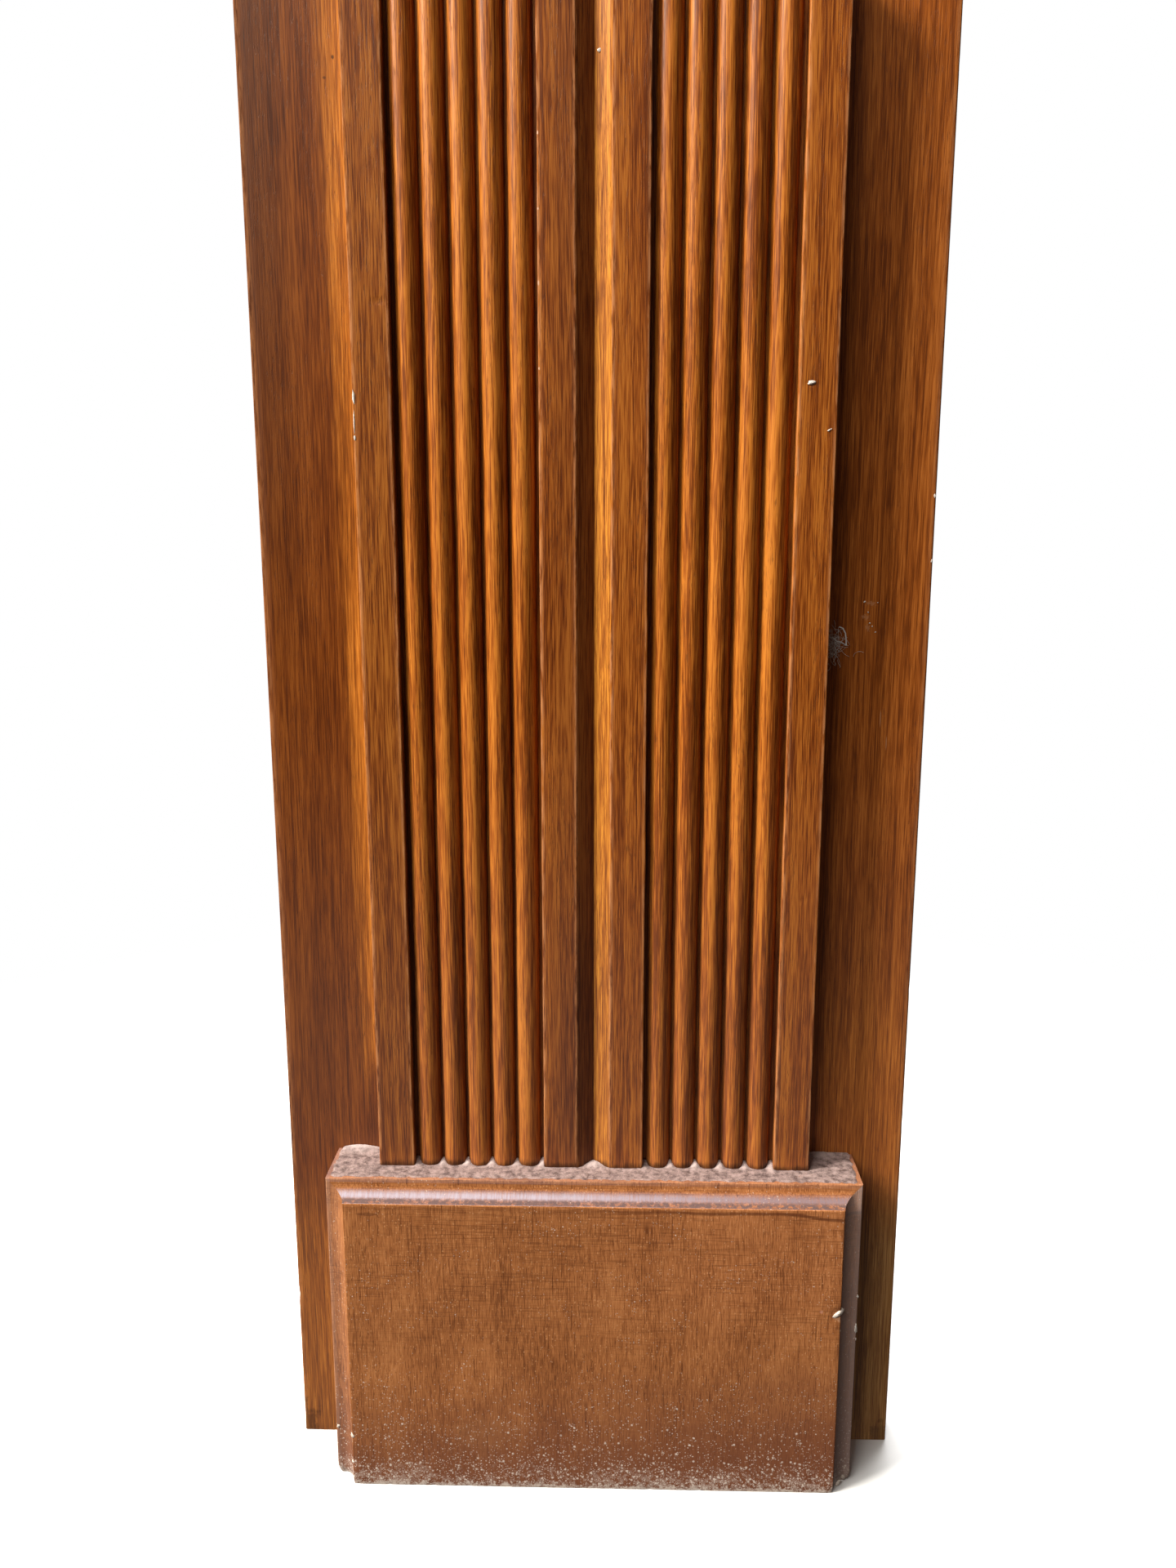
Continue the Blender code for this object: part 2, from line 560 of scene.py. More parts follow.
@dataclass(frozen=True)
class BoardWood(StainedWood):
    """The back board's finish, with painted light: a pale glow beside the left of the pilaster and
    the block, and tints that lighten and darken parts of the board.
    """

    # Painted light and shade: pale is a glow of light reflected off the pilaster's side, the foot
    # colour a painted reflection low on the left, the right-hand colours painted light lifting the
    # shaded right of the board, and the edge colour painted shade on the upper left edge; the left
    # tint darkens the left half.
    pale: Colour = (3.50, 4.70, 5.20)
    painted_foot_reflection: Colour = (1.95, 2.60, 3.50)
    left_tint: Colour = (0.86, 0.84, 0.82)
    right_painted_light: Colour = (1.72, 1.85, 2.50)
    right_low_painted_light: Colour = (1.30, 1.40, 1.25)
    right_foot_painted_light: Colour = (1.00, 1.60, 3.60)
    upper_edge_painted_shade: Colour = (0.60, 0.60, 0.80)
    pilaster_side: float = -0.1000
    glow_width: float = 0.0150
    glow_foot: float = 0.1760
    block_top: float = 0.1500

    def finished(self, graph: Graph, layers: Layers) -> Layers:
        """Add painted light: a pale glow beside the pilaster, for light reflected off its side, which
        frays out above the plinth block, and tints that lighten and darken the board.

        Args:
            graph: The graph to add to.
            layers: The wood so far.

        Returns:
            The wood with its wear.
        """
        place = graph.place()
        x, _, z = graph.axes(place)
        frayed = graph.noise(place, (230.0, 230.0, 9.0), 3.0, 0.6)
        # Painted light: the pale band stands for light reflected off the pilaster's left side,
        # fraying into tongues above the block.
        beside = self.pilaster_side - x + (frayed - 0.5) * 0.018
        band = beside.rise(self.glow_width, 0.0010) * x.rise(-0.0900, -0.0950)
        tongues = (z - self.glow_foot + (frayed - 0.5) * 0.16).rise(-0.004, 0.030)
        share = (band * tongues * (0.48 + frayed * 0.9)).limited()
        low = z.rise(self.block_top, self.block_top - 0.05)
        upper_edge = x.rise(-0.1200, -0.1420) * z.rise(0.30, 0.58)
        # Painted light and shade across the board: the glow, the low reflection on the left, a darker
        # left half, the right side lifted out of the pilaster's shadow, and a darker upper left edge.
        tints = (
            (self.pale, share),
            (self.painted_foot_reflection, x.rise(-0.1180, -0.1260) * low),
            (self.left_tint, x.rise(0.0, -0.1)),
            (self.right_painted_light, x.rise(0.0, 0.1)),
            (self.right_low_painted_light, x.rise(0.1, 0.11) * z.rise(0.27, 0.20)),
            (self.right_foot_painted_light, x.rise(0.1, 0.11) * low),
            (self.upper_edge_painted_shade, upper_edge),
        )
        layers.colour = graph.overlaid(layers.colour, tints, "MULTIPLY")
        return super().finished(graph, layers)


@dataclass(frozen=True)
class PlinthWood(StainedWood):
    """The plinth block's finish: sanded across, dusty on its ledge, with a painted highlight on its
    cove and a painted reflection on its sides, and scuffed near the floor.
    """

    dust: Colour = (0.150, 0.095, 0.090)
    # The film colours are a painted highlight and reflection with some dust: bright on the cove,
    # dimmer to the right away from the light, grey on the sides.
    film: Colour = (0.440, 0.390, 0.460)
    dim_painted_highlight: Colour = (0.250, 0.185, 0.205)
    side_dust_and_reflection: Colour = (0.400, 0.310, 0.285)
    speck: Colour = (0.620, 0.310, 0.140)
    scuff: Colour = (0.700, 0.580, 0.500)
    # Colour of the dark line just under the face's top arris.
    stain: Colour = (0.085, 0.020, 0.007)
    low: Colour = (0.165, 0.055, 0.028)
    upper_right: Colour = (1.14, 1.14, 1.20)
    face_top: float = 0.1463
    top: float = 0.1552
    half_width: float = 0.1229

    def finished(self, graph: Graph, layers: Layers) -> Layers:
        """Add the sanding, the shade, the dust and the scuffs to the usual wear.

        Args:
            graph: The graph to add to.
            layers: The wood so far.

        Returns:
            The wood with its wear.
        """
        layers = self.sanded(graph, super().finished(graph, layers))
        layers.colour = self.shaded(graph, layers.colour)
        return self.dusted(graph, layers)

    def sanded(self, graph: Graph, layers: Layers) -> Layers:
        """Add sanding lines, fine upright cracks, pale specks and dark pits.

        Args:
            graph: The graph to add to.
            layers: The wood so far.

        Returns:
            The sanded wood.
        """
        place = graph.place()
        height = graph.axes(place)[2]
        sanding = graph.noise(place, (60.0, 60.0, 2100.0), 2.0, 0.6)
        sanded = graph.noise(place, (30.0, 30.0, 40.0), 2.0).rise(0.30, 0.55)
        sanded = sanded * (0.35 + height.rise(0.060, 0.110) * 0.75)
        cracks = graph.noise(place, (900.0, 900.0, 34.0), 2.0, 0.55).rise(0.65, 0.70)
        distance, own = graph.grains(place, (760.0, 760.0, 620.0))
        dots = distance.rise(0.34, 0.10)
        colour = graph.overlaid(layers.colour, (
            (self.dark, cracks * 0.75),
            (self.dark, sanding.rise(0.48, 0.64) * sanded * 0.50),
            (self.speck, dots * own.rise(0.52, 0.80) * 0.60),
            (self.dark, dots * own.rise(0.30, 0.10) * 0.55),
        ))
        return Layers(colour, layers.roughness, layers.relief - cracks * 0.5 + sanding * 0.35)

    def shaded(self, graph: Graph, colour: Any) -> Any:
        """Darken the lower part, pale the upper right and draw the seam under the top arris.

        Args:
            graph: The graph to add to.
            colour: The wood's colour so far.

        Returns:
            The wood's colour.
        """
        place = graph.place()
        x, _, height = graph.axes(place)
        shade = graph.noise(place, (36.0, 36.0, 60.0), 3.0, 0.6)
        shade = (shade - 0.5) * 0.030 + x * 0.10
        colour = graph.blend(colour, self.low, (height - shade).rise(0.072, 0.004) * 0.80)
        paler = x.rise(-0.03, 0.08) * height.rise(0.06, 0.12)
        colour = graph.blend(colour, self.upper_right, paler, "MULTIPLY")
        wavy = graph.noise(place, (55.0, 55.0, 55.0), 2.0) * 0.002 + x.rise(0.085, 0.112) * 0.003
        # A dark line just under the face's top arris, darker towards the right.
        seam = (height - self.face_top + 0.0010 + wavy).magnitude().rise(0.0012, 0.0003)
        return graph.blend(colour, self.stain, seam * (0.20 + x.rise(-0.03, 0.05) * 0.45))

    def sheen_and_dust_share(self, graph: Graph, ledge: Value, lumps: Value) -> tuple[Value, Value]:
        """Spread the film over the cove and the sides: a painted highlight and reflection, with some
        thin dust.

        Args:
            graph: The graph to add to.
            ledge: How much of a ledge each point lies on.
            lumps: How the dust has clumped.

        Returns:
            How much of the film shows, and how far each point belongs to a side.
        """
        place = graph.place()
        x, _, height = graph.axes(place)
        brushed = graph.noise(place, (1500.0, 120.0, 120.0), 2.0, 0.6)
        film = ledge.rise(0.20, 0.52) * (1 - ledge.rise(0.56, 0.78) * 0.8)
        film = film * (0.20 + brushed * 1.4)
        outward = x.magnitude() - self.half_width
        below = height - self.top
        side = outward.rise(-0.0090, -0.0080) * (outward - below).rise(0.0, 0.0004)
        hollow = outward.rise(-0.0082, -0.0030)
        left = x.rise(0.0, -0.1) * (0.03 + hollow * 0.08)
        right = x.rise(0.0, 0.1) * (0.55 - hollow * 0.10 + lumps * 0.3)
        flats = below.rise(-0.0021, -0.0017) * 0.12 + outward.rise(-0.0021, -0.0017) * 0.10
        return (film + side * (left + right) + flats).limited(), side

    def dusted(self, graph: Graph, layers: Layers) -> Layers:
        """Add the dust on the ledge, the painted highlight and reflection with some dust on the cove
        and sides, and the pale scuffs near the floor.

        Args:
            graph: The graph to add to.
            layers: The wood so far.

        Returns:
            The dusty wood.
        """
        place = graph.place()
        x, _, height = graph.axes(place)
        ledge = graph.mark(Mark.LEDGE)
        lumps = graph.noise(place, (420.0, 420.0, 420.0), 4.0, 0.65)
        film, side = self.sheen_and_dust_share(graph, ledge, lumps)
        # Painted highlight, fading towards the right away from the light, and painted reflection on
        # the sides.
        hue = graph.blend(self.film, self.dim_painted_highlight, x.rise(-0.04, 0.10))
        hue = graph.blend(hue, self.side_dust_and_reflection, side)
        dusty = (ledge.rise(0.56, 0.74) * lumps.rise(0.36, 0.56)).limited()
        scuffs = self.scuffs(graph, height)
        shares = ((hue, film * 0.95), (self.dust, dusty), (self.scuff, scuffs))
        roughness = layers.roughness + dusty * 0.4 + scuffs * 0.3
        relief = layers.relief + scuffs * 0.4 + dusty * lumps
        return Layers(graph.overlaid(layers.colour, shares), roughness, relief)

    def scuffs(self, graph: Graph, height: Value) -> Value:
        """Scatter pale specks and smears, which grow denser towards the floor.

        Args:
            graph: The graph to add to.
            height: Each point's height above the floor.

        Returns:
            How much of the pale scuff shows.
        """
        place = graph.place()
        low = height.rise(0.075, 0.0)
        lowest = height.rise(0.020, 0.0)
        patches = graph.noise(place, (48.0, 48.0, 70.0), 3.0, 0.6)
        total: Operand = 0.0
        for spacing, rarity in ((480.0, 1.40), (820.0, 1.30), (1300.0, 1.24)):
            distance, own = graph.grains(place, (spacing, spacing, spacing))
            shown = (own + patches * 0.6 + low * 0.31 + lowest * 0.50 - rarity).rise(0.0, 0.08)
            total = total + shown * distance.rise(0.38, 0.12) * 0.90
        cloud = graph.noise(place, (420.0, 420.0, 520.0), 5.0, 0.75)
        smears = (cloud + lowest * 0.14 + (patches - 0.5) * 0.45).rise(0.58, 0.74) * lowest
        frayed = (cloud + height.rise(0.0045, 0.0) * 0.30).rise(0.62, 0.82)
        return (total + smears * 0.35 + frayed * height.rise(0.004, 0.001) * 0.6).limited()


@dataclass(frozen=True)
class BareWood(Finish):
    """Planed wood that was never stained, as on the side that faces the wall."""

    dark: Colour = (0.230, 0.105, 0.050)
    light: Colour = (0.430, 0.235, 0.125)

    def inputs(self, graph: Graph) -> dict[str, Any]:
        """Lay down the surface.

        Args:
            graph: The graph to add to.

        Returns:
            What feeds the shader's sockets.
        """
        place = graph.place()
        streaks = graph.noise(place, (240.0, 240.0, 4.0), 4.0, 0.6)
        fibres = graph.noise(place, (1700.0, 1700.0, 40.0), 3.0, 0.65)
        knives = graph.noise(place, (3.0, 3.0, 420.0), 1.0)
        tone = streaks * 0.7 + fibres * 0.35 + knives * 0.15 - 0.1
        colour = graph.ramp(tone.limited(), ((0.25, self.dark), (0.75, self.light)))
        return {
            "Base Color": colour,
            "Roughness": 0.78 + (fibres - 0.5) * 0.2,
            "Normal": graph.bump(fibres + knives, 0.0002, 0.5),
        }


@dataclass(frozen=True)
class EndGrain(Finish):
    """A sawn end, with open pores, faint growth bands and saw marks."""

    dark: Colour = (0.130, 0.050, 0.020)
    light: Colour = (0.360, 0.180, 0.085)

    def inputs(self, graph: Graph) -> dict[str, Any]:
        """Lay down the surface.

        Args:
            graph: The graph to add to.

        Returns:
            What feeds the shader's sockets.
        """
        place = graph.place()
        bands = graph.noise(place, (30.0, 520.0, 30.0), 3.0, 0.6)
        distance, own = graph.grains(place, (1700.0, 1700.0, 40.0))
        pores = distance.rise(0.36, 0.20) * own.rise(0.35, 0.55)
        saw = graph.noise(place, (900.0, 25.0, 25.0), 2.0)
        tone = bands * 0.8 + saw * 0.3 - 0.05
        colour = graph.ramp(tone.limited(), ((0.25, self.dark), (0.80, self.light)))
        colour = graph.blend(colour, self.dark, pores * 0.8)
        return {
            "Base Color": colour,
            "Roughness": 0.82 + (saw - 0.5) * 0.2,
            "Normal": graph.bump(saw - pores, 0.0002, 0.6),
        }


@dataclass(frozen=True)
class Powder(Finish):
    """A dry, matt, mottled material, such as settled dust or a crumb of plaster."""

    dark: Colour
    light: Colour
    spot: Colour
    size: float

    def inputs(self, graph: Graph) -> dict[str, Any]:
        """Lay down the surface.

        Args:
            graph: The graph to add to.

        Returns:
            What feeds the shader's sockets.
        """
        place = graph.place()
        coarse = 1.0 / self.size
        clumps = graph.noise(place, (coarse, coarse, coarse), 4.0, 0.65)
        grit = graph.noise(place, (coarse * 6, coarse * 6, coarse * 6), 2.0, 0.6)
        tone = clumps * 0.8 + grit * 0.4 - 0.1
        colour = graph.ramp(tone.limited(), ((0.36, self.dark), (0.62, self.light)))
        colour = graph.blend(colour, self.spot, grit.rise(0.60, 0.70) * 0.7)
        colour = self.heaped(graph, colour, clumps)
        return {
            "Base Color": colour,
            "Roughness": 0.90 + (grit - 0.5) * 0.1,
            "Normal": graph.bump(grit + clumps, self.size * 0.12, 0.8),
        }

    def heaped(self, graph: Graph, colour: Any, clumps: Value) -> Any:
        """Return the colour as it is, because this powder lies evenly."""
        return colour


@dataclass(frozen=True)
class SettledDust(Powder):
    """House dust on a stained shelf: paler where it is heaped, and thin in places."""

    pale: Colour = (0.720, 0.600, 0.570)
    shelf: Colour = (0.085, 0.042, 0.032)

    def heaped(self, graph: Graph, colour: Any, clumps: Value) -> Any:
        """Make the heaps paler, and let the shelf show where the dust is thin.

        Args:
            graph: The graph to add to.
            colour: The dust's colour so far.
            clumps: How the dust has clumped.

        Returns:
            The dust's colour.
        """
        heap = graph.mark(Mark.LEDGE)
        thin = graph.noise(graph.place(), (150.0, 260.0, 150.0), 4.0, 0.7).rise(0.56, 0.70)
        colour = graph.blend(colour, self.shelf, thin * (1 - heap) * 0.75)
        return graph.blend(colour, self.pale, (heap * (0.2 + clumps)).limited())


@dataclass(frozen=True)
class Unevenness:
    """A gentle unevenness that repeats exactly, as a sum of waves."""

    seed: int
    across: float
    along: float
    waves: int = 10

    def at(self, across: np.ndarray, along: np.ndarray) -> np.ndarray:
        """Add the waves up at places on a surface.

        Args:
            across: The places' distances across the surface.
            along: Their distances along it.

        Returns:
            The unevenness, mostly from -1 to 1.
        """
        draws = np.random.default_rng(self.seed)
        total = np.zeros(np.broadcast(across, along).shape)
        for _ in range(self.waves):
            turn_across, turn_along = draws.normal(size=2) * math.tau
            phase = draws.uniform(0, math.tau)
            total += np.sin(across * turn_across / self.across
                            + along * turn_along / self.along + phase)
        return total / math.sqrt(2 * self.waves)


@dataclass
class Shape:
    """The points and faces of one mesh, with the marks of its points."""

    points: np.ndarray
    faces: list[Face]
    finishes: list[int]
    marks: dict[Mark, np.ndarray]


def make_piece(name: str, shape: Shape, materials: Sequence[bpy.types.Material],
               smooth_to: float = 35.0) -> bpy.types.Object:
    """Turn a shape into an object that rides on the leg.

    Args:
        name: The piece's name.
        shape: Its points, faces and marks.
        materials: Its finishes, in the order that the faces count them.
        smooth_to: Edges bent by more than this many degrees stay sharp.

    Returns:
        The object.
    """
    mesh = bpy.data.meshes.new(name)
    mesh.from_pydata([tuple(point) for point in shape.points], [], shape.faces)
    mesh.polygons.foreach_set("material_index", shape.finishes)
    form = bmesh.new()
    form.from_mesh(mesh)
    bmesh.ops.recalc_face_normals(form, faces=form.faces)
    form.to_mesh(mesh)
    form.free()
    for mark, values in shape.marks.items():
        layer = mesh.attributes.new(mark.value, "FLOAT", "POINT")
        layer.data.foreach_set("value", np.asarray(values, np.float32))
    for material in materials:
        mesh.materials.append(material)
    mesh.shade_smooth()
    mesh.set_sharp_from_angle(angle=math.radians(smooth_to))
    mesh.update()
    piece = bpy.data.objects.new(name, mesh)
    bpy.context.scene.collection.objects.link(piece)
    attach(piece, BODY)
    LOG.info("%s: %d points, %d faces", name, len(mesh.vertices), len(mesh.polygons))
    return piece


@dataclass(frozen=True)
class Corner:
    """A point of a section, the radius that eases it, and how hollow and worn it is."""

    across: float
    depth: float
    easing: float = 0.0
    hollow: float = 0.0
    wear: float = 0.0


def eased(before: Corner, corner: Corner, after: Corner, facets: int) -> list[Corner]:
    """Round one corner of a section.

    Args:
        before: The corner before it.
        corner: The corner to round.
        after: The corner after it.
        facets: How many facets the round has.

    Returns:
        The points of the round, in order, each marked as worn.
    """
    here = np.array((corner.across, corner.depth))
    back = np.array((before.across, before.depth)) - here
    ahead = np.array((after.across, after.depth)) - here
    first = math.atan2(back[1], back[0])
    turn = (math.atan2(ahead[1], ahead[0]) - first + math.pi) % math.tau - math.pi
    middle = first + turn / 2
    reach = corner.easing / math.sin(abs(turn) / 2)
    centre = here + reach * np.array((math.cos(middle), math.sin(middle)))
    sweep = math.copysign(math.pi - abs(turn), turn)
    points = []
    for step in range(facets + 1):
        angle = middle + math.pi + sweep * (0.5 - step / facets)
        x, y = centre + corner.easing * np.array((math.cos(angle), math.sin(angle)))
        points.append(Corner(float(x), float(y), wear=1.0))
    return points


def section(corners: Sequence[Corner], spacing: float, facets: int) -> list[Corner]:
    """Turn the corners of a closed section into closely spaced points.

    Args:
        corners: The section's corners, in order.
        spacing: The longest step between two points.
        facets: How many facets each eased corner has.

    Returns:
        The points, in order, without the first one again at the end.
    """
    rounded: list[Corner] = []
    for before, corner, after in zip(corners[-1:] + corners[:-1], corners, corners[1:] + corners[:1]):
        rounded += eased(before, corner, after, facets) if corner.easing else [corner]
    points: list[Corner] = []
    for start, end in zip(rounded, rounded[1:] + rounded[:1]):
        length = math.hypot(end.across - start.across, end.depth - start.depth)
        steps = max(1, math.ceil(length / spacing))
        points.append(start)
        for share in (step / steps for step in range(1, steps)):
            across = start.across + (end.across - start.across) * share
            depth = start.depth + (end.depth - start.depth) * share
            hollow = start.hollow + (end.hollow - start.hollow) * share
            points.append(Corner(across, depth, hollow=hollow))
    return points


def upright_rows(low: float, high: float, spacing: float, busy: Sequence[float]) -> np.ndarray:
    """Space the rows of points up a board.

    Args:
        low: The lowest row.
        high: The highest row.
        spacing: The usual step between two rows.
        busy: The heights that need closer rows.

    Returns:
        The heights, in order.
    """
    count = round((high - low) / spacing) + 1
    rows = list(np.linspace(low, high, count))
    for height in busy:
        rows += [height + offset * 0.0006 for offset in range(-3, 4)]
    kept: list[float] = []
    for row in sorted(row for row in rows if low <= row <= high):
        if not kept or row - kept[-1] > 0.0002:
            kept.append(row)
    kept[-1] = high
    return np.array(kept)


def ring_faces(rings: int, around: int, start: int = 0) -> list[Face]:
    """Join rings of points into a closed tube.

    Args:
        rings: How many rings there are.
        around: How many points each ring has.
        start: The number of the first ring's first point.

    Returns:
        The faces, ring by ring, and then the two ends.
    """
    faces: list[Face] = []
    end = start + (rings - 1) * around
    for low in range(start, end, around):
        for step in range(around):
            ahead = (step + 1) % around
            faces.append((low + step, low + ahead, low + around + ahead, low + around + step))
    return [*faces, tuple(reversed(range(start, start + around))), tuple(range(end, end + around))]


def upright_board(stations: Sequence[Corner], rows: np.ndarray, front: float,
                  finish_of_side: Sequence[int], end_finish: int) -> Shape:
    """Raise a section into a board with closed ends.

    Args:
        stations: The section's points.
        rows: The height of each row of points.
        front: Where the section's depth of 0 is, along y.
        finish_of_side: The finish of the strip that starts at each of the section's points.
        end_finish: The finish of the two ends.

    Returns:
        The board, with its points row by row.
    """
    points = np.empty((len(rows), len(stations), 3))
    points[:, :, 0] = [station.across for station in stations]
    points[:, :, 1] = front + np.array([station.depth for station in stations])
    points[:, :, 2] = rows[:, None]
    finishes = [*finish_of_side] * (len(rows) - 1) + [end_finish] * 2
    marks = {Mark.WEAR: np.tile([station.wear for station in stations], len(rows)),
             Mark.HOLLOW: np.tile([station.hollow for station in stations], len(rows))}
    return Shape(points.reshape(-1, 3), ring_faces(len(rows), len(stations)), finishes, marks)


@dataclass(frozen=True)
class Mound:
    """A rounded dent or heap on a face: its middle, its half sizes and its depth or height."""

    x: float
    along: float
    half_width: float
    half_length: float
    rise: float

    def at(self, x: np.ndarray, along: np.ndarray) -> np.ndarray:
        """Return how deep or high it is at places on the face."""
        away = ((x - self.x) / self.half_width) ** 2 + ((along - self.along) / self.half_length) ** 2
        return self.rise * np.exp(-away)


@dataclass
class BackBoard:
    """The flat board behind everything, which shows on both sides and reaches the floor."""

    half_width: float = 0.1464
    thickness: float = 0.0200
    height: float = 0.6650
    back: float = 0.02765
    easing: float = 0.0010
    spacing: float = 0.0034
    row_spacing: float = 0.0045
    waviness: float = 0.00010

    def corners(self) -> list[Corner]:
        """Return the corners of the board's section, seen from above."""
        sides = ((-1, 0), (1, 0), (1, 1), (-1, 1))
        return [Corner(x * self.half_width, y * self.thickness, self.easing) for x, y in sides]

    def shape(self) -> Shape:
        """Build the board, with a slightly wavy front and small nicks along its edges.

        Returns:
            The board.
        """
        stations = section(self.corners(), self.spacing, 4)
        rows = upright_rows(0.0, self.height, self.row_spacing, ())
        back_starts = self.thickness - self.easing / 2
        sides = [int(station.depth > back_starts) for station in stations]
        front = self.back - self.thickness
        shape = upright_board(stations, rows, front, sides, 2)
        points = shape.points
        x, y, z = points.T.copy()
        inward = 0.5 + 0.5 * np.clip(Unevenness(11, 0.09, 0.21).at(x, z), -1, 1)
        facing = np.clip(1 - (y - front) / self.thickness, 0, 1)
        points[:, 1] += facing * inward * self.waviness
        nicks = np.clip(Unevenness(12, 0.5, 0.010).at(x, z) - 0.9, 0, 1) * 0.0005
        points[:, 0] -= np.sign(x) * nicks * (np.abs(x) > self.half_width - 2 * self.easing)
        return shape

    def stains(self) -> tuple[Spot, ...]:
        """List the scratches, the pits near the top, the dark patches at the lower corners and the
        dirty haze.

        Returns:
            The marks, each a small spot of another colour.
        """
        front = self.back - self.thickness
        pit = (0.030, 0.009, 0.003)
        dark_corner = (0.020, 0.008, 0.005)
        scratch = (0.480, 0.230, 0.110)
        haze = (0.480, 0.420, 0.360)
        return (
            Spot((0.1269, front, 0.3647), (0.0003, 0.002, 0.0045), scratch, 0.7, 0.1),
            Spot((0.1300, front, 0.3537), (0.0003, 0.002, 0.0036), scratch, 0.6, 0.1),
            Spot((-0.1066, front, 0.6343), (0.0007, 0.002, 0.0010), pit, 0.8),
            Spot((-0.1103, front, 0.6267), (0.0009, 0.002, 0.0007), pit, 0.6),
            # Dark patches at the two lower corners of the board.
            Spot((-0.1460, front, 0.0020), (0.0080, 0.020, 0.0150), dark_corner, 0.5, 0.8),
            Spot((0.1440, front, 0.0020), (0.0060, 0.020, 0.0090), dark_corner, 0.4, 0.8),
            Spot((0.1038, front, 0.3975), (0.0042, 0.020, 0.0060), haze, 0.6, 0.7),
            Spot((0.1184, front, 0.4092), (0.0020, 0.002, 0.0013), scratch, 0.45, 0.9),
            Spot((0.1206, front, 0.4152), (0.0024, 0.002, 0.0010), scratch, 0.45, 0.9),
            Spot((0.1195, front, 0.4046), (0.0012, 0.002, 0.0016), scratch, 0.45, 0.9),
        )

    def build(self) -> bpy.types.Object:
        """Build and dress the board.

        Returns:
            The board, which stands for its CAD node.
        """
        wood = BoardWood(
            "board_stained_wood", dark=(0.085, 0.018, 0.002), middle=(0.178, 0.042, 0.004),
            light=(0.290, 0.082, 0.010), shift=(3.1, 0.7, 1.9), mottle=0.9, streaks=1.1,
            strands=0.8, fibres=2.0, pores=0.40, wear=0.30, spots=self.stains(),
        ).material()
        bare = BareWood("board_bare_back").material()
        sawn = EndGrain("board_sawn_ends").material()
        board = make_piece("board", self.shape(), (wood, bare, sawn))
        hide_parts("back_board")
        return board


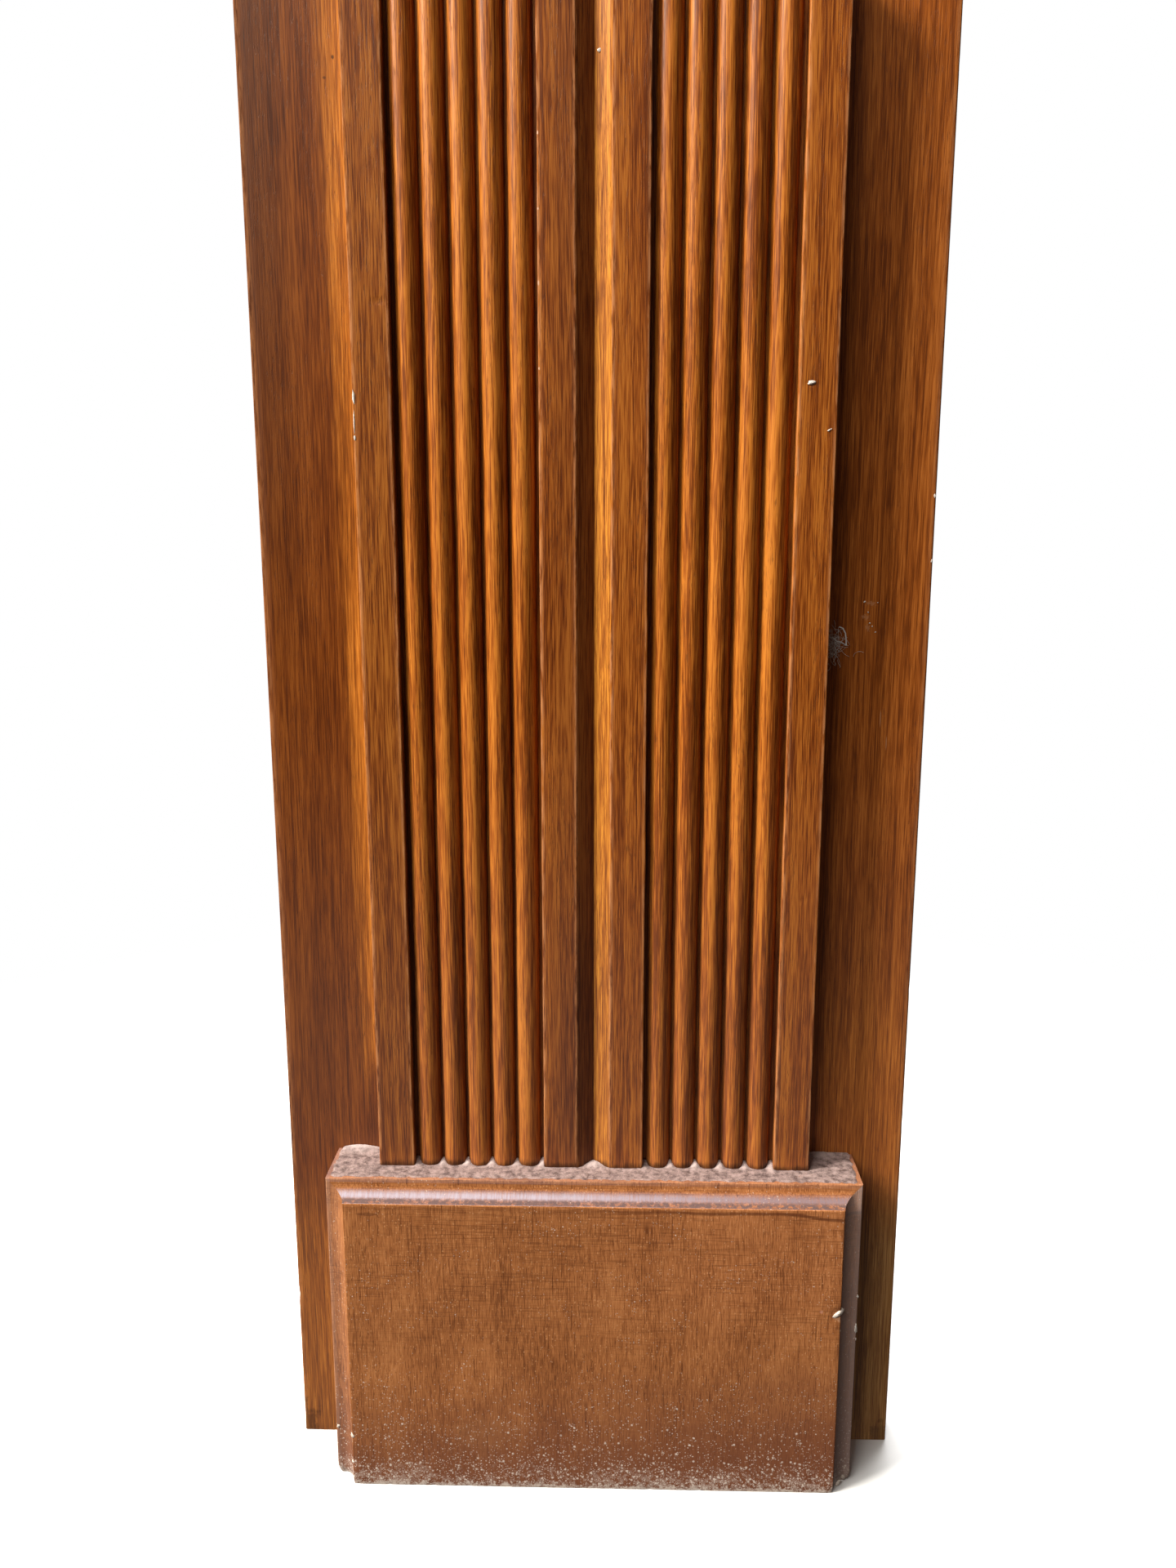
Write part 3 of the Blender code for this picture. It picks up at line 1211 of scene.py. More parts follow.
@dataclass
class ReededPilaster:
    """One moulded board: flat stiles, two fields of round reeds and a V groove."""

    groove_width: float = 0.0152
    inner_stile_width: float = 0.0153
    outer_stile_width: float = 0.0164
    reed_count: int = 5
    reed_pitch: float = 0.0116
    reed_valley: float = 0.0009
    field_margin: float = 0.00135
    groove_depth: float = 0.0050
    thickness: float = 0.0165
    reed_setback: float = 0.0006
    # How darkly the valleys and the groove are painted: painted shade with some dirt.
    valley_grime_and_shade: float = 0.22
    groove_grime_and_shade: float = 0.10
    easing: float = 0.0006
    foot: float = 0.1555
    top: float = 0.6650
    front: float = -0.00915
    reed_facets: int = 14
    spacing: float = 0.0022
    row_spacing: float = 0.0022
    waviness: float = 0.00011

    @property
    def reed_radius(self) -> float:
        """Return the radius of a reed."""
        return (self.reed_pitch - self.reed_valley) / 2

    @property
    def valley_depth(self) -> float:
        """Return how deep the valleys beside the reeds are."""
        return self.reed_setback + self.reed_radius

    @property
    def field_start(self) -> float:
        """Return where a field of reeds starts, from the centre line."""
        return self.groove_width / 2 + self.inner_stile_width

    @property
    def field_width(self) -> float:
        """Return the width of a field of reeds."""
        return self.reed_count * self.reed_pitch + 2 * self.field_margin

    @property
    def half_width(self) -> float:
        """Return half of the pilaster's width."""
        return self.field_start + self.field_width + self.outer_stile_width

    def valleys(self) -> list[float]:
        """Find the middle of each valley in the right-hand field.

        Returns:
            Their distances from the centre line.
        """
        start = self.field_start + self.field_margin
        inner = [start + index * self.reed_pitch for index in range(1, self.reed_count)]
        last = self.field_start + self.field_width - self.field_margin / 2
        return [start - self.field_margin / 2, *inner, last]

    def half_corners(self) -> list[Corner]:
        """Draw one half of the section.

        Returns:
            The corners, from beside the groove to the back.
        """
        end = self.field_start + self.field_width
        deep = self.valley_depth
        corners = [
            Corner(self.groove_width / 2, 0.0, self.easing),
            Corner(self.field_start, 0.0, self.easing),
            Corner(self.field_start, deep, hollow=self.valley_grime_and_shade),
        ]
        for index in range(self.reed_count):
            middle = self.field_start + self.field_margin + (index + 0.5) * self.reed_pitch
            for step in range(self.reed_facets + 1):
                angle = math.pi * (1 - step / self.reed_facets)
                rise = self.reed_radius * math.sin(angle)
                hollow = self.valley_grime_and_shade * max(0.0, 1 - rise / (0.42 * self.reed_radius))
                across = middle + self.reed_radius * math.cos(angle)
                corners.append(Corner(across, deep - rise, hollow=hollow))
        corners += [
            Corner(end, deep, hollow=self.valley_grime_and_shade),
            Corner(end, 0.0, self.easing),
            Corner(self.half_width, 0.0, self.easing),
            Corner(self.half_width, self.thickness),
        ]
        return corners

    def corners(self) -> list[Corner]:
        """Draw the whole section, the left half as the mirror of the right.

        Returns:
            The corners, from left to right.
        """
        right = self.half_corners()
        left = [Corner(-corner.across, corner.depth, corner.easing, corner.hollow)
                for corner in reversed(right)]
        return [*left, Corner(0.0, self.groove_depth, hollow=self.groove_grime_and_shade), *right]

    def dents(self) -> list[Mound]:
        """List the dents in the stiles.

        Returns:
            The dents.
        """
        return [
            Mound(-0.0875, 0.5376, 0.0012, 0.0016, 0.0005),
            Mound(0.0889, 0.5049, 0.0016, 0.0010, 0.0003),
            Mound(-0.0150, 0.3080, 0.0010, 0.0030, 0.0002),
            Mound(0.0930, 0.2860, 0.0014, 0.0020, 0.0002),
        ]

    def flecks(self) -> tuple[Spot, ...]:
        """List the bare flecks along the left arris of the left inner stile.

        Returns:
            The flecks, each a small spot of another colour.
        """
        pale = (0.600, 0.400, 0.280)
        places = ((0.6000, 0.0009), (0.5720, 0.0006), (0.5440, 0.0012), (0.5110, 0.0007))
        return tuple(
            Spot((-0.0225, self.front, height), (0.0004, 0.002, length), pale, 0.8, 0.2)
            for height, length in places
        )

    def shape(self) -> Shape:
        """Build the pilaster, slightly uneven along its length as a worked board is.

        Returns:
            The pilaster.
        """
        stations = section(self.corners(), self.spacing, 4)
        busy = [dent.along for dent in self.dents()]
        rows = upright_rows(self.foot, self.top, self.row_spacing, busy)
        at_back = [station.depth > self.thickness - 1e-6 for station in stations]
        sides = [int(here and ahead) for here, ahead in zip(at_back, at_back[1:] + at_back[:1])]
        shape = upright_board(stations, rows, self.front, sides, 2)
        points = shape.points
        x, y, z = points.T.copy()
        depth = y - self.front
        loose = np.clip(1 - depth / self.thickness, 0, 1) * (np.abs(x) < self.half_width - 0.001)
        points[:, 0] += loose * self.waviness * Unevenness(21, 0.018, 0.075).at(x, z)
        sunk = 0.5 + 0.5 * np.clip(Unevenness(22, 0.030, 0.11).at(x, z), -1, 1)
        points[:, 1] += loose * self.waviness * sunk
        on_face = depth < 2 * self.easing
        for dent in self.dents():
            points[:, 1] += on_face * dent.at(x, z)
        worn = shape.marks[Mark.WEAR] > 0.5
        knocks = np.clip(Unevenness(23, 0.05, 0.013, 16).at(x, z) - 0.8, 0, 1.2) * 0.00022
        points[:, 1] += worn * (depth < 2 * self.easing) * knocks
        return shape

    def build(self) -> bpy.types.Object:
        """Build and dress the pilaster.

        Returns:
            The pilaster, which stands for its CAD node.
        """
        wood = PilasterWood("pilaster_stained_wood", spots=self.flecks()).material()
        bare = BareWood("pilaster_bare_back").material()
        sawn = EndGrain("pilaster_sawn_ends").material()
        pilaster = make_piece("pilaster", self.shape(), (wood, bare, sawn))
        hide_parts("reeded_pilaster")
        return pilaster


@dataclass
class PlinthBlock:
    """The block at the foot, with a flat and a cove worked along its top and both sides."""

    half_width: float = 0.1229
    height: float = 0.1552
    projection: float = 0.0283
    edge_flat: float = 0.0019
    cove_radius: float = 0.0070
    easing: float = 0.0005
    board_front: float = 0.00765
    fit_gap: float = 0.0003
    spacing: float = 0.0021
    waviness: float = 0.00012
    wall_steps: int = 9
    arris_steps: int = 4
    cove_steps: int = 14
    worn_height: float = 0.0050
    worn_from: float = 0.1120
    worn_over: float = 0.0080
    frayed_height: float = 0.0022

    @property
    def face(self) -> float:
        """Return where the block's raised face is, along y."""
        return self.board_front - self.projection - self.cove_radius

    def arris(self, inset: float, projection: float, first: int) -> list[EdgePoint]:
        """Round an arris of the worked edge.

        Args:
            inset: Where the round starts.
            projection: How far out it ends.
            first: The first of its steps that is wanted.

        Returns:
            Its points.
        """
        points = []
        for step in range(first, self.arris_steps + 1):
            angle = math.pi * (1 - step / (2 * self.arris_steps))
            across = inset + self.easing * (1 + math.cos(angle))
            points.append((across, projection - self.easing * (1 - math.sin(angle)), 1.0, 0.0))
        return points

    def profile(self) -> list[EdgePoint]:
        """Draw the worked edge, from the board out to the block's face.

        Returns:
            Its points.
        """
        out, face = self.projection, self.projection + self.cove_radius
        start, end = self.edge_flat, self.edge_flat + self.cove_radius
        wall = out - self.easing - self.fit_gap
        points = [(0.0, self.fit_gap + wall * step / self.wall_steps, 0.0, 0.0)
                  for step in range(self.wall_steps)]
        points += [*self.arris(0.0, out, 0), (start, out, 0.0, 0.0)]
        for step in range(1, self.cove_steps):
            angle = math.radians(-90 + 90 * step / self.cove_steps)
            inset = start + self.cove_radius * math.cos(angle)
            projection = face + self.cove_radius * math.sin(angle)
            points.append((inset, projection, 0.0, step / self.cove_steps))
        return [*points, *self.arris(end, face, 1)]

    def lines(self, insets: Sequence[float], length: float, both: bool) -> np.ndarray:
        """Find where the grid's lines are, as distances from the first edge.

        Args:
            insets: The insets of the worked edge.
            length: The whole length of this side of the grid.
            both: True if the worked edge is at both ends.

        Returns:
            The distances, in order.
        """
        ends = [length - inset for inset in reversed(insets)] if both else [length]
        count = round((ends[0] - insets[-1]) / self.spacing)
        middle = np.linspace(insets[-1], ends[0], count + 1)[1:-1]
        return np.array([*insets, *middle, *ends])

    def shape(self) -> Shape:
        """Build the block: its worked edge, mitred at the two upper corners, and its face.

        Returns:
            The block.
        """
        profile = np.array(self.profile())
        insets = [float(inset) for inset in profile[:, 0]]
        columns = self.lines(insets, 2 * self.half_width, True)
        rows = self.lines(insets, self.height, False)
        edge = len(profile) - 1
        counted = np.arange(len(columns))
        across = np.minimum(np.minimum(counted, edge), np.minimum(counted[::-1], edge))
        down = np.minimum(np.arange(len(rows)), edge)
        rank = np.minimum(across[:, None], down[None, :])
        points = np.empty((len(columns), len(rows), 3))
        points[:, :, 0] = (columns - self.half_width)[:, None]
        points[:, :, 1] = self.board_front - profile[rank, 1]
        points[:, :, 2] = (self.height - rows)[None, :]
        marks = {
            Mark.WEAR: profile[rank, 2] * (rank < edge),
            Mark.HOLLOW: np.zeros(rank.shape),
            Mark.LEDGE: profile[rank, 3] * (down[None, :] <= across[:, None]),
        }
        marks = {mark: values.reshape(-1) for mark, values in marks.items()}
        number = np.arange(rank.size).reshape(rank.shape)
        faces = self.front_faces(across, down)
        finishes = [0] * len(faces) + [2, 1]
        faces.append(tuple(number[:, -1]))
        faces.append((*number[0, ::-1], *number[1:, 0], *number[-1, 1:]))
        shape = Shape(points.reshape(-1, 3), faces, finishes, marks)
        self.age(shape)
        return self.welded(shape)

    def front_faces(self, across: np.ndarray, down: np.ndarray) -> list[Face]:
        """Join the grid's lines.

        Args:
            across: How far in each upright line is, in steps of the worked edge.
            down: The same for each line across.

        Returns:
            The faces between the lines, split along the mitres.
        """
        rows = len(down)
        faces: list[Face] = []
        for column in range(len(across) - 1):
            steps = min(across[column], across[column + 1])
            on_right = across[column + 1] < across[column]
            for row in range(rows - 1):
                if max(steps, row) < self.wall_steps:
                    continue
                low = column * rows + row
                square = (low, low + 1, low + rows + 1, low + rows)
                if steps == row == min(down[row], down[row + 1]):
                    turned = square[-1:] + square[:-1] if on_right else square
                    faces += [turned[:3], (turned[0], *turned[2:])]
                else:
                    faces.append(square)
        return faces

    def age(self, shape: Shape) -> None:
        """Make the face slightly uneven, wear the two lower corners and chip an arris.

        Args:
            shape: The block, whose points are moved.
        """
        points = shape.points
        x, y, z = points.T.copy()
        on_face = np.clip((self.face + 0.0015 - y) / 0.0015, 0, 1)
        uneven = 0.5 + 0.5 * np.clip(Unevenness(31, 0.05, 0.05).at(x, z), -1, 1)
        points[:, 1] += on_face * uneven * self.waviness
        chips = (
            Mound(0.1135, 0.0942, 0.0022, 0.0021, 0.0011),
            Mound(-0.1140, 0.0258, 0.0016, 0.0018, 0.0008),
            Mound(-0.1140, 0.0116, 0.0014, 0.0016, 0.0007),
            Mound(0.1136, 0.0855, 0.0009, 0.0012, 0.0004),
        )
        near_arris = np.clip((self.face + 0.0020 - y) / 0.0010, 0, 1)
        for chip in chips:
            points[:, 1] += near_arris * chip.at(x, z)
        lowness = np.clip(1 - z / self.worn_height, 0, 1) ** 1.6
        outer = np.clip((np.abs(x) - self.worn_from) / self.worn_over, 0, 1)
        pull = np.where(x > 0, 0.0021, 0.0013) * lowness * outer * (y < 0)
        points[:, 0] -= np.sign(x) * pull
        points[:, 1] += pull * 0.7
        frayed = np.clip(Unevenness(32, 0.004, 0.004, 14).at(x, z) - 0.3, 0, 1.5)
        bottom = np.clip(1 - z / self.frayed_height, 0, 1)
        points[:, 1] += bottom * on_face * (0.00025 + 0.0004 * frayed)

    def welded(self, shape: Shape) -> Shape:
        """Join the points that fall together at the two upper corners.

        Args:
            shape: The block.

        Returns:
            The block without doubled points.
        """
        keys = np.round(shape.points, 7)
        _, first, same = np.unique(keys, axis=0, return_index=True, return_inverse=True)
        same = same.reshape(-1)
        faces: list[Face] = []
        finishes: list[int] = []
        for face, finish in zip(shape.faces, shape.finishes):
            loop = [int(same[place]) for place in face]
            kept = tuple(place for index, place in enumerate(loop) if place != loop[index - 1])
            if len(kept) > 2:
                faces.append(kept)
                finishes.append(finish)
        marks = {mark: values[first] for mark, values in shape.marks.items()}
        return Shape(shape.points[first], faces, finishes, marks)

    def stains(self) -> tuple[Spot, ...]:
        """List the face's streak, paler patch and pinkish dot, and the raw places.

        Returns:
            The marks, each a small spot of another colour.
        """
        face = self.face
        return (
            Spot((-0.1028, face, 0.1413), (0.0060, 0.004, 0.0010), (0.075, 0.020, 0.008), 0.5),
            Spot((-0.0520, face, 0.0270), (0.0160, 0.004, 0.0120), (0.430, 0.190, 0.075), 0.3),
            Spot((0.1050, face, 0.0954), (0.0010, 0.004, 0.0010), (0.560, 0.260, 0.180), 0.6),
            Spot((0.1200, face + 0.007, 0.0030), (0.0030, 0.006, 0.0030), (0.7, 0.58, 0.46), 0.8),
            Spot((0.1130, face, 0.0930), (0.0030, 0.004, 0.0030), (0.560, 0.330, 0.200), 0.5),
        )

    def build(self) -> bpy.types.Object:
        """Build and dress the block.

        Returns:
            The block, which stands for its CAD node.
        """
        wood = PlinthWood(
            "plinth_stained_wood", dark=(0.140, 0.042, 0.012), middle=(0.350, 0.125, 0.039),
            light=(0.500, 0.205, 0.072), shift=(5.3, 1.1, 0.4), stretch=(1.15, 1.15, 2.6),
            mottle=0.75, streaks=0.25,
            strands=0.45, fibres=1.7, pores=0.3, low_film=0.0, roughness=0.46,
            spots=self.stains(),
        ).material()
        bare = BareWood("plinth_bare_back").material()
        sawn = EndGrain("plinth_sawn_foot").material()
        block = make_piece("plinth", self.shape(), (wood, bare, sawn), 32.0)
        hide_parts("plinth_block")
        return block


@dataclass
class ShelfDust:
    """The dust that has settled on top of the plinth block and in the feet of the valleys."""

    shelf: float = 0.1552
    half_width: float = 0.1222
    front: float = -0.0200
    back: float = 0.0073
    spacing: float = 0.00055
    valleys: Sequence[float] = ()

    def heaps(self) -> list[Mound]:
        """Pile up the heaps in the valleys' feet, in the groove and in the corners.

        Returns:
            The heaps.
        """
        draws = np.random.default_rng(41)
        found = []
        for side in (-1, 1):
            for middle in self.valleys:
                height = draws.uniform(0.0017, 0.0026)
                found.append(Mound(side * middle, -0.0042 + draws.uniform(-0.0006, 0.0006),
                                  0.0021, 0.0042, height))
        found.append(Mound(0.0004, -0.0050, 0.0050, 0.0034, 0.0018))
        found.append(Mound(-0.1125, 0.0085, 0.0095, 0.0050, 0.0021))
        found.append(Mound(0.1070, 0.0070, 0.0080, 0.0050, 0.0013))
        return found

    def heaped(self, x: np.ndarray, y: np.ndarray) -> np.ndarray:
        """Tell how far up a heap places on the shelf are.

        Args:
            x: The places' distances across the shelf.
            y: Their distances from front to back.

        Returns:
            The share, from 0 to 1.
        """
        share = np.zeros(x.shape)
        for heap in self.heaps():
            share = np.maximum(share, heap.at(x, y) / heap.rise)
        return share

    def heights(self, x: np.ndarray, y: np.ndarray) -> np.ndarray:
        """Tell how deep the dust lies at places on the shelf.

        Args:
            x: The places' distances across the shelf.
            y: Their distances from front to back.

        Returns:
            The depth, which is below 0 where no dust lies.
        """
        film = 0.00022 + 0.00016 * Unevenness(42, 0.012, 0.008, 16).at(x, y)
        lumps = 0.00014 * np.abs(Unevenness(43, 0.0022, 0.0022, 24).at(x, y))
        grit = 0.00005 * Unevenness(44, 0.0009, 0.0009, 24).at(x, y)
        drift = 0.0007 * np.exp(-((y - self.back) / 0.0030) ** 2)
        depth = film + lumps + grit + drift
        for heap in self.heaps():
            depth = np.maximum(depth, heap.at(x, y) + lumps + grit)
        edge = np.minimum(y - self.front, self.half_width - np.abs(x))
        ragged = 0.0005 + 0.0006 * Unevenness(45, 0.006, 0.006, 16).at(x, y)
        cover = np.clip((edge - ragged) / 0.0012, 0, 1)
        return depth * cover - 0.00012 * (1 - cover)

    def build(self) -> bpy.types.Object:
        """Build and dress the dust, as a closed layer that just dips into the shelf.

        Returns:
            The dust.
        """
        across = np.linspace(-self.half_width, self.half_width,
                             round(2 * self.half_width / self.spacing) + 1)
        deep = np.linspace(self.front, self.back,
                           round((self.back - self.front) / self.spacing) + 1)
        x, y = np.meshgrid(across, deep, indexing="ij")
        top = np.stack((x, y, self.shelf + self.heights(x, y)), axis=-1)
        count = len(deep)
        number = np.arange(x.size).reshape(x.shape)
        faces = [(low, low + count, low + count + 1, low + 1)
                 for low in number[:-1, :-1].reshape(-1).tolist()]
        rim = [*number[:, 0], *number[-1, 1:], *number[-2::-1, -1], *number[0, -2:0:-1]]
        rim = [int(place) for place in rim]
        points = top.reshape(-1, 3)
        below = points[rim].copy()
        below[:, 2] = self.shelf - 0.0003
        start = len(points)
        for index, place in enumerate(rim):
            ahead = (index + 1) % len(rim)
            faces.append((place, start + index, start + ahead, rim[ahead]))
        faces.append(tuple(start + index for index in reversed(range(len(rim)))))
        heaped = np.concatenate((self.heaped(x, y).reshape(-1), np.zeros(len(rim))))
        shape = Shape(np.concatenate((points, below)), faces, [0] * len(faces),
                      {Mark.LEDGE: heaped})
        powder = SettledDust("settled_dust", (0.118, 0.073, 0.067), (0.465, 0.338, 0.310),
                             (0.100, 0.045, 0.030), 0.0030).material()
        return make_piece("plinth_top_dust", shape, (powder,), 60.0)


@dataclass(frozen=True)
class Fleck:
    """A crumb stuck to a surface: where it is, its half sizes, its thickness and its turn."""

    place: Point
    half_width: float
    half_height: float
    thickness: float
    turn: float = 0.0
    facing: float = 0.0


@dataclass
class Flecks:
    """Crumbs of white plaster and paint, and the pale raw places where wood has chipped off."""

    board_front: float = 0.00765
    stile_front: float = -0.00915
    face_front: float = -0.02765
    flat_front: float = -0.02065
    recess: float = 0.00005

    def plaster(self) -> list[Fleck]:
        """List the crumbs of plaster.

        Returns:
            The crumbs.
        """
        stile, board, flat = self.stile_front, self.board_front, self.flat_front
        return [
            Fleck((0.0889, stile, 0.5052), 0.0017, 0.0010, 0.0005, 0.15),
            Fleck((0.0966, stile, 0.4863), 0.0007, 0.0004, 0.0003, 0.6),
            Fleck((0.0975, stile, 0.4868), 0.0004, 0.0003, 0.0003, 0.2),
            Fleck((-0.0994, stile, 0.5000), 0.0006, 0.0030, 0.0003, 0.02),
            Fleck((-0.0995, stile, 0.4900), 0.0003, 0.0050, 0.0002, 0.0),
            Fleck((-0.0994, stile, 0.4838), 0.0006, 0.0012, 0.0002, 0.1),
            Fleck((0.0020, stile + 0.0036, 0.6308), 0.0010, 0.0010, 0.0003, 0.0),
            Fleck((0.1178, board, 0.4160), 0.0005, 0.0004, 0.0002, 0.3),
            Fleck((0.1194, board, 0.4114), 0.0004, 0.0004, 0.0002, 0.9),
            Fleck((0.1204, board, 0.4068), 0.0004, 0.0003, 0.0002, 0.1),
            Fleck((0.1215, board, 0.4054), 0.0003, 0.0003, 0.0002, 0.4),
            Fleck((0.1230, board, 0.4029), 0.0004, 0.0003, 0.0002, 0.2),
            Fleck((0.1235, board, 0.4156), 0.0003, 0.0003, 0.0002, 0.0),
            Fleck((0.1457, board + 0.0001, 0.4609), 0.0005, 0.0010, 0.0002, 0.0),
            Fleck((0.1458, board + 0.0001, 0.4335), 0.0004, 0.0008, 0.0002, 0.0),
            Fleck((0.1225, flat - 0.0001, 0.0823), 0.0008, 0.0027, 0.0008, 0.05, -0.3),
            Fleck((0.1228, flat, 0.0768), 0.0004, 0.0008, 0.0003, 0.05, 0.8),
            Fleck((0.1226, flat - 0.0001, 0.0990), 0.0006, 0.0009, 0.0007, 0.05, -0.3),
            Fleck((-0.1220, flat, 0.0256), 0.0009, 0.0010, 0.0003, 0.3),
        ]

    def chips(self) -> list[Fleck]:
        """List the pale places where the plinth block's arrises have chipped.

        Returns:
            The chips.
        """
        face = self.face_front
        return [
            Fleck((0.1131, face + 0.0010, 0.0943), 0.0034, 0.0017, 0.0008, 0.55, 0.5),
            Fleck((0.1138, face + 0.0008, 0.0855), 0.0007, 0.0007, 0.0003, 0.0, 0.5),
            Fleck((-0.1139, face + 0.0010, 0.0258), 0.0013, 0.0015, 0.0005, 0.2, -0.5),
            Fleck((-0.1139, face + 0.0010, 0.0116), 0.0011, 0.0012, 0.0005, 0.9, -0.5),
            Fleck((0.1205, self.flat_front + 0.0010, 0.0030), 0.0020, 0.0022, 0.0006, 0.5, 0.6),
            Fleck((0.1172, face + 0.0048, 0.0016), 0.0018, 0.0012, 0.0006, 0.2, 0.6),
        ]

    def shape(self, flecks: Sequence[Fleck], seed: int) -> Shape:
        """Build each fleck as a low, broken lump.

        Args:
            flecks: The flecks.
            seed: Where their broken outlines start from.

        Returns:
            All of them as one shape.
        """
        draws = np.random.default_rng(seed)
        points: list[Sequence[float]] = []
        faces: list[Face] = []
        around = 11
        levels = ((1.0, -0.4), (0.98, 0.25), (0.70, 0.75), (0.35, 1.0))
        for fleck in flecks:
            faces += ring_faces(len(levels), around, len(points))
            outline = draws.uniform(0.68, 1.12, around)
            turned = Matrix.Rotation(-fleck.turn, 3, "Y")
            faced = Matrix.Rotation(fleck.facing, 3, "Z")
            for share, lift in levels:
                for step in range(around):
                    angle = math.tau * step / around
                    reach = outline[step] * share
                    height = fleck.thickness * (lift + draws.uniform(-0.12, 0.12))
                    local = Vector((fleck.half_width * reach * math.cos(angle), -height,
                                    fleck.half_height * reach * math.sin(angle)))
                    point = faced @ (turned @ local) + Vector(fleck.place)
                    point.y = max(point.y, self.face_front + self.recess)
                    points.append(tuple(point))
        return Shape(np.array(points), faces, [0] * len(faces), {})

    def build(self) -> list[bpy.types.Object]:
        """Build and dress the flecks.

        Returns:
            The crumbs and the chips.
        """
        plaster = Powder("white_plaster", (0.560, 0.480, 0.410), (0.900, 0.850, 0.780),
                         (0.420, 0.300, 0.220), 0.0010).material()
        raw = Powder("raw_chipped_wood", (0.640, 0.510, 0.400), (0.900, 0.820, 0.740),
                     (0.420, 0.250, 0.140), 0.0012).material()
        crumbs = make_piece("plaster_flecks", self.shape(self.plaster(), 51), (plaster,), 50.0)
        chips = make_piece("chipped_arris", self.shape(self.chips(), 52), (raw,), 50.0)
        return [crumbs, chips]


@dataclass
class Lint:
    """A few pale strands of cobweb and lint on the board, close to the right-hand stile."""

    board_front: float = 0.00765
    thread: float = 0.00024
    hair: float = 0.00006
    hairs: int = 46
    hair_points: int = 6
    nest_x: float = 0.1035
    nest_z: float = 0.3965
    stile_side: float = 0.1007

    def paths(self) -> list[tuple[float, list[Point]]]:
        """Lay out two thick strands, and fine hairs around them.

        Returns:
            The radius and the path of each strand.
        """
        front = self.board_front
        strands = [
            (self.thread * 1.3, [(0.1070, front - 0.0003, 0.4052), (0.1086, front - 0.0006, 0.4046),
                                 (0.1098, front - 0.0007, 0.4024), (0.1103, front - 0.0005, 0.3992),
                                 (0.1104, front - 0.0003, 0.3970)]),
            (self.thread, [(0.1040, front - 0.0012, 0.4008), (0.1060, front - 0.0010, 0.3990),
                           (0.1083, front - 0.0006, 0.3985), (0.1102, front - 0.0003, 0.3972)]),
        ]
        draws = np.random.default_rng(61)
        for _ in range(self.hairs):
            x = self.nest_x + abs(draws.normal(0, 0.0030))
            z = self.nest_z + draws.normal(0, 0.0032)
            heading = draws.uniform(0, math.tau)
            bend = draws.uniform(-1.2, 1.2)
            step = draws.uniform(0.0006, 0.0016)
            path = []
            for _ in range(self.hair_points):
                depth = front - 0.0002 - draws.uniform(0, 0.0008)
                path.append((max(x, self.stile_side), depth, z))
                x += step * math.cos(heading)
                z += step * math.sin(heading)
                heading += bend * 0.4
            strands.append((self.hair, path))
        return strands

    def build(self) -> bpy.types.Object:
        """Build and dress the strands, each a thin tube with closed ends.

        Returns:
            The lint.
        """
        points: list[Sequence[float]] = []
        faces: list[Face] = []
        around = 5
        for radius, path in self.paths():
            faces += ring_faces(len(path), around, len(points))
            spots = [Vector(place) for place in path]
            for index, spot in enumerate(spots):
                ahead = spots[min(index + 1, len(spots) - 1)] - spots[max(index - 1, 0)]
                side = ahead.cross(Vector((0, 1, 0))).normalized()
                lift = side.cross(ahead).normalized()
                for step in range(around):
                    angle = math.tau * step / around
                    points.append(tuple(spot + radius * (side * math.cos(angle)
                                                         + lift * math.sin(angle))))
        shape = Shape(np.array(points), faces, [0] * len(faces), {})
        web = Powder("pale_lint", (0.780, 0.760, 0.720), (0.960, 0.950, 0.930),
                     (0.620, 0.590, 0.550), 0.0015).material()
        return make_piece("lint", shape, (web,), 80.0)


@dataclass(frozen=True)
class Lamp:
    """One soft rectangular lamp: its direction in degrees, distance, size, power and colour."""

    name: str
    azimuth: float
    elevation: float
    distance: float
    size: tuple[float, float]
    power: float
    colour: Colour

    def build(self, aim: Vector) -> bpy.types.Object:
        """Hang the lamp facing a point, at an azimuth counted to the left from the front.

        Args:
            aim: The point that it faces.

        Returns:
            The lamp.
        """
        azimuth = math.radians(self.azimuth)
        elevation = math.radians(self.elevation)
        away = Vector((-math.sin(azimuth) * math.cos(elevation),
                       -math.cos(azimuth) * math.cos(elevation), math.sin(elevation)))
        data = bpy.data.lights.new(self.name, "AREA")
        data.shape = "RECTANGLE"
        data.size, data.size_y = self.size
        data.energy = self.power
        data.color = self.colour
        lamp = bpy.data.objects.new(self.name, data)
        lamp.location = aim + away * self.distance
        lamp.rotation_euler = away.to_track_quat("Z", "Y").to_euler()
        bpy.context.scene.collection.objects.link(lamp)
        return lamp


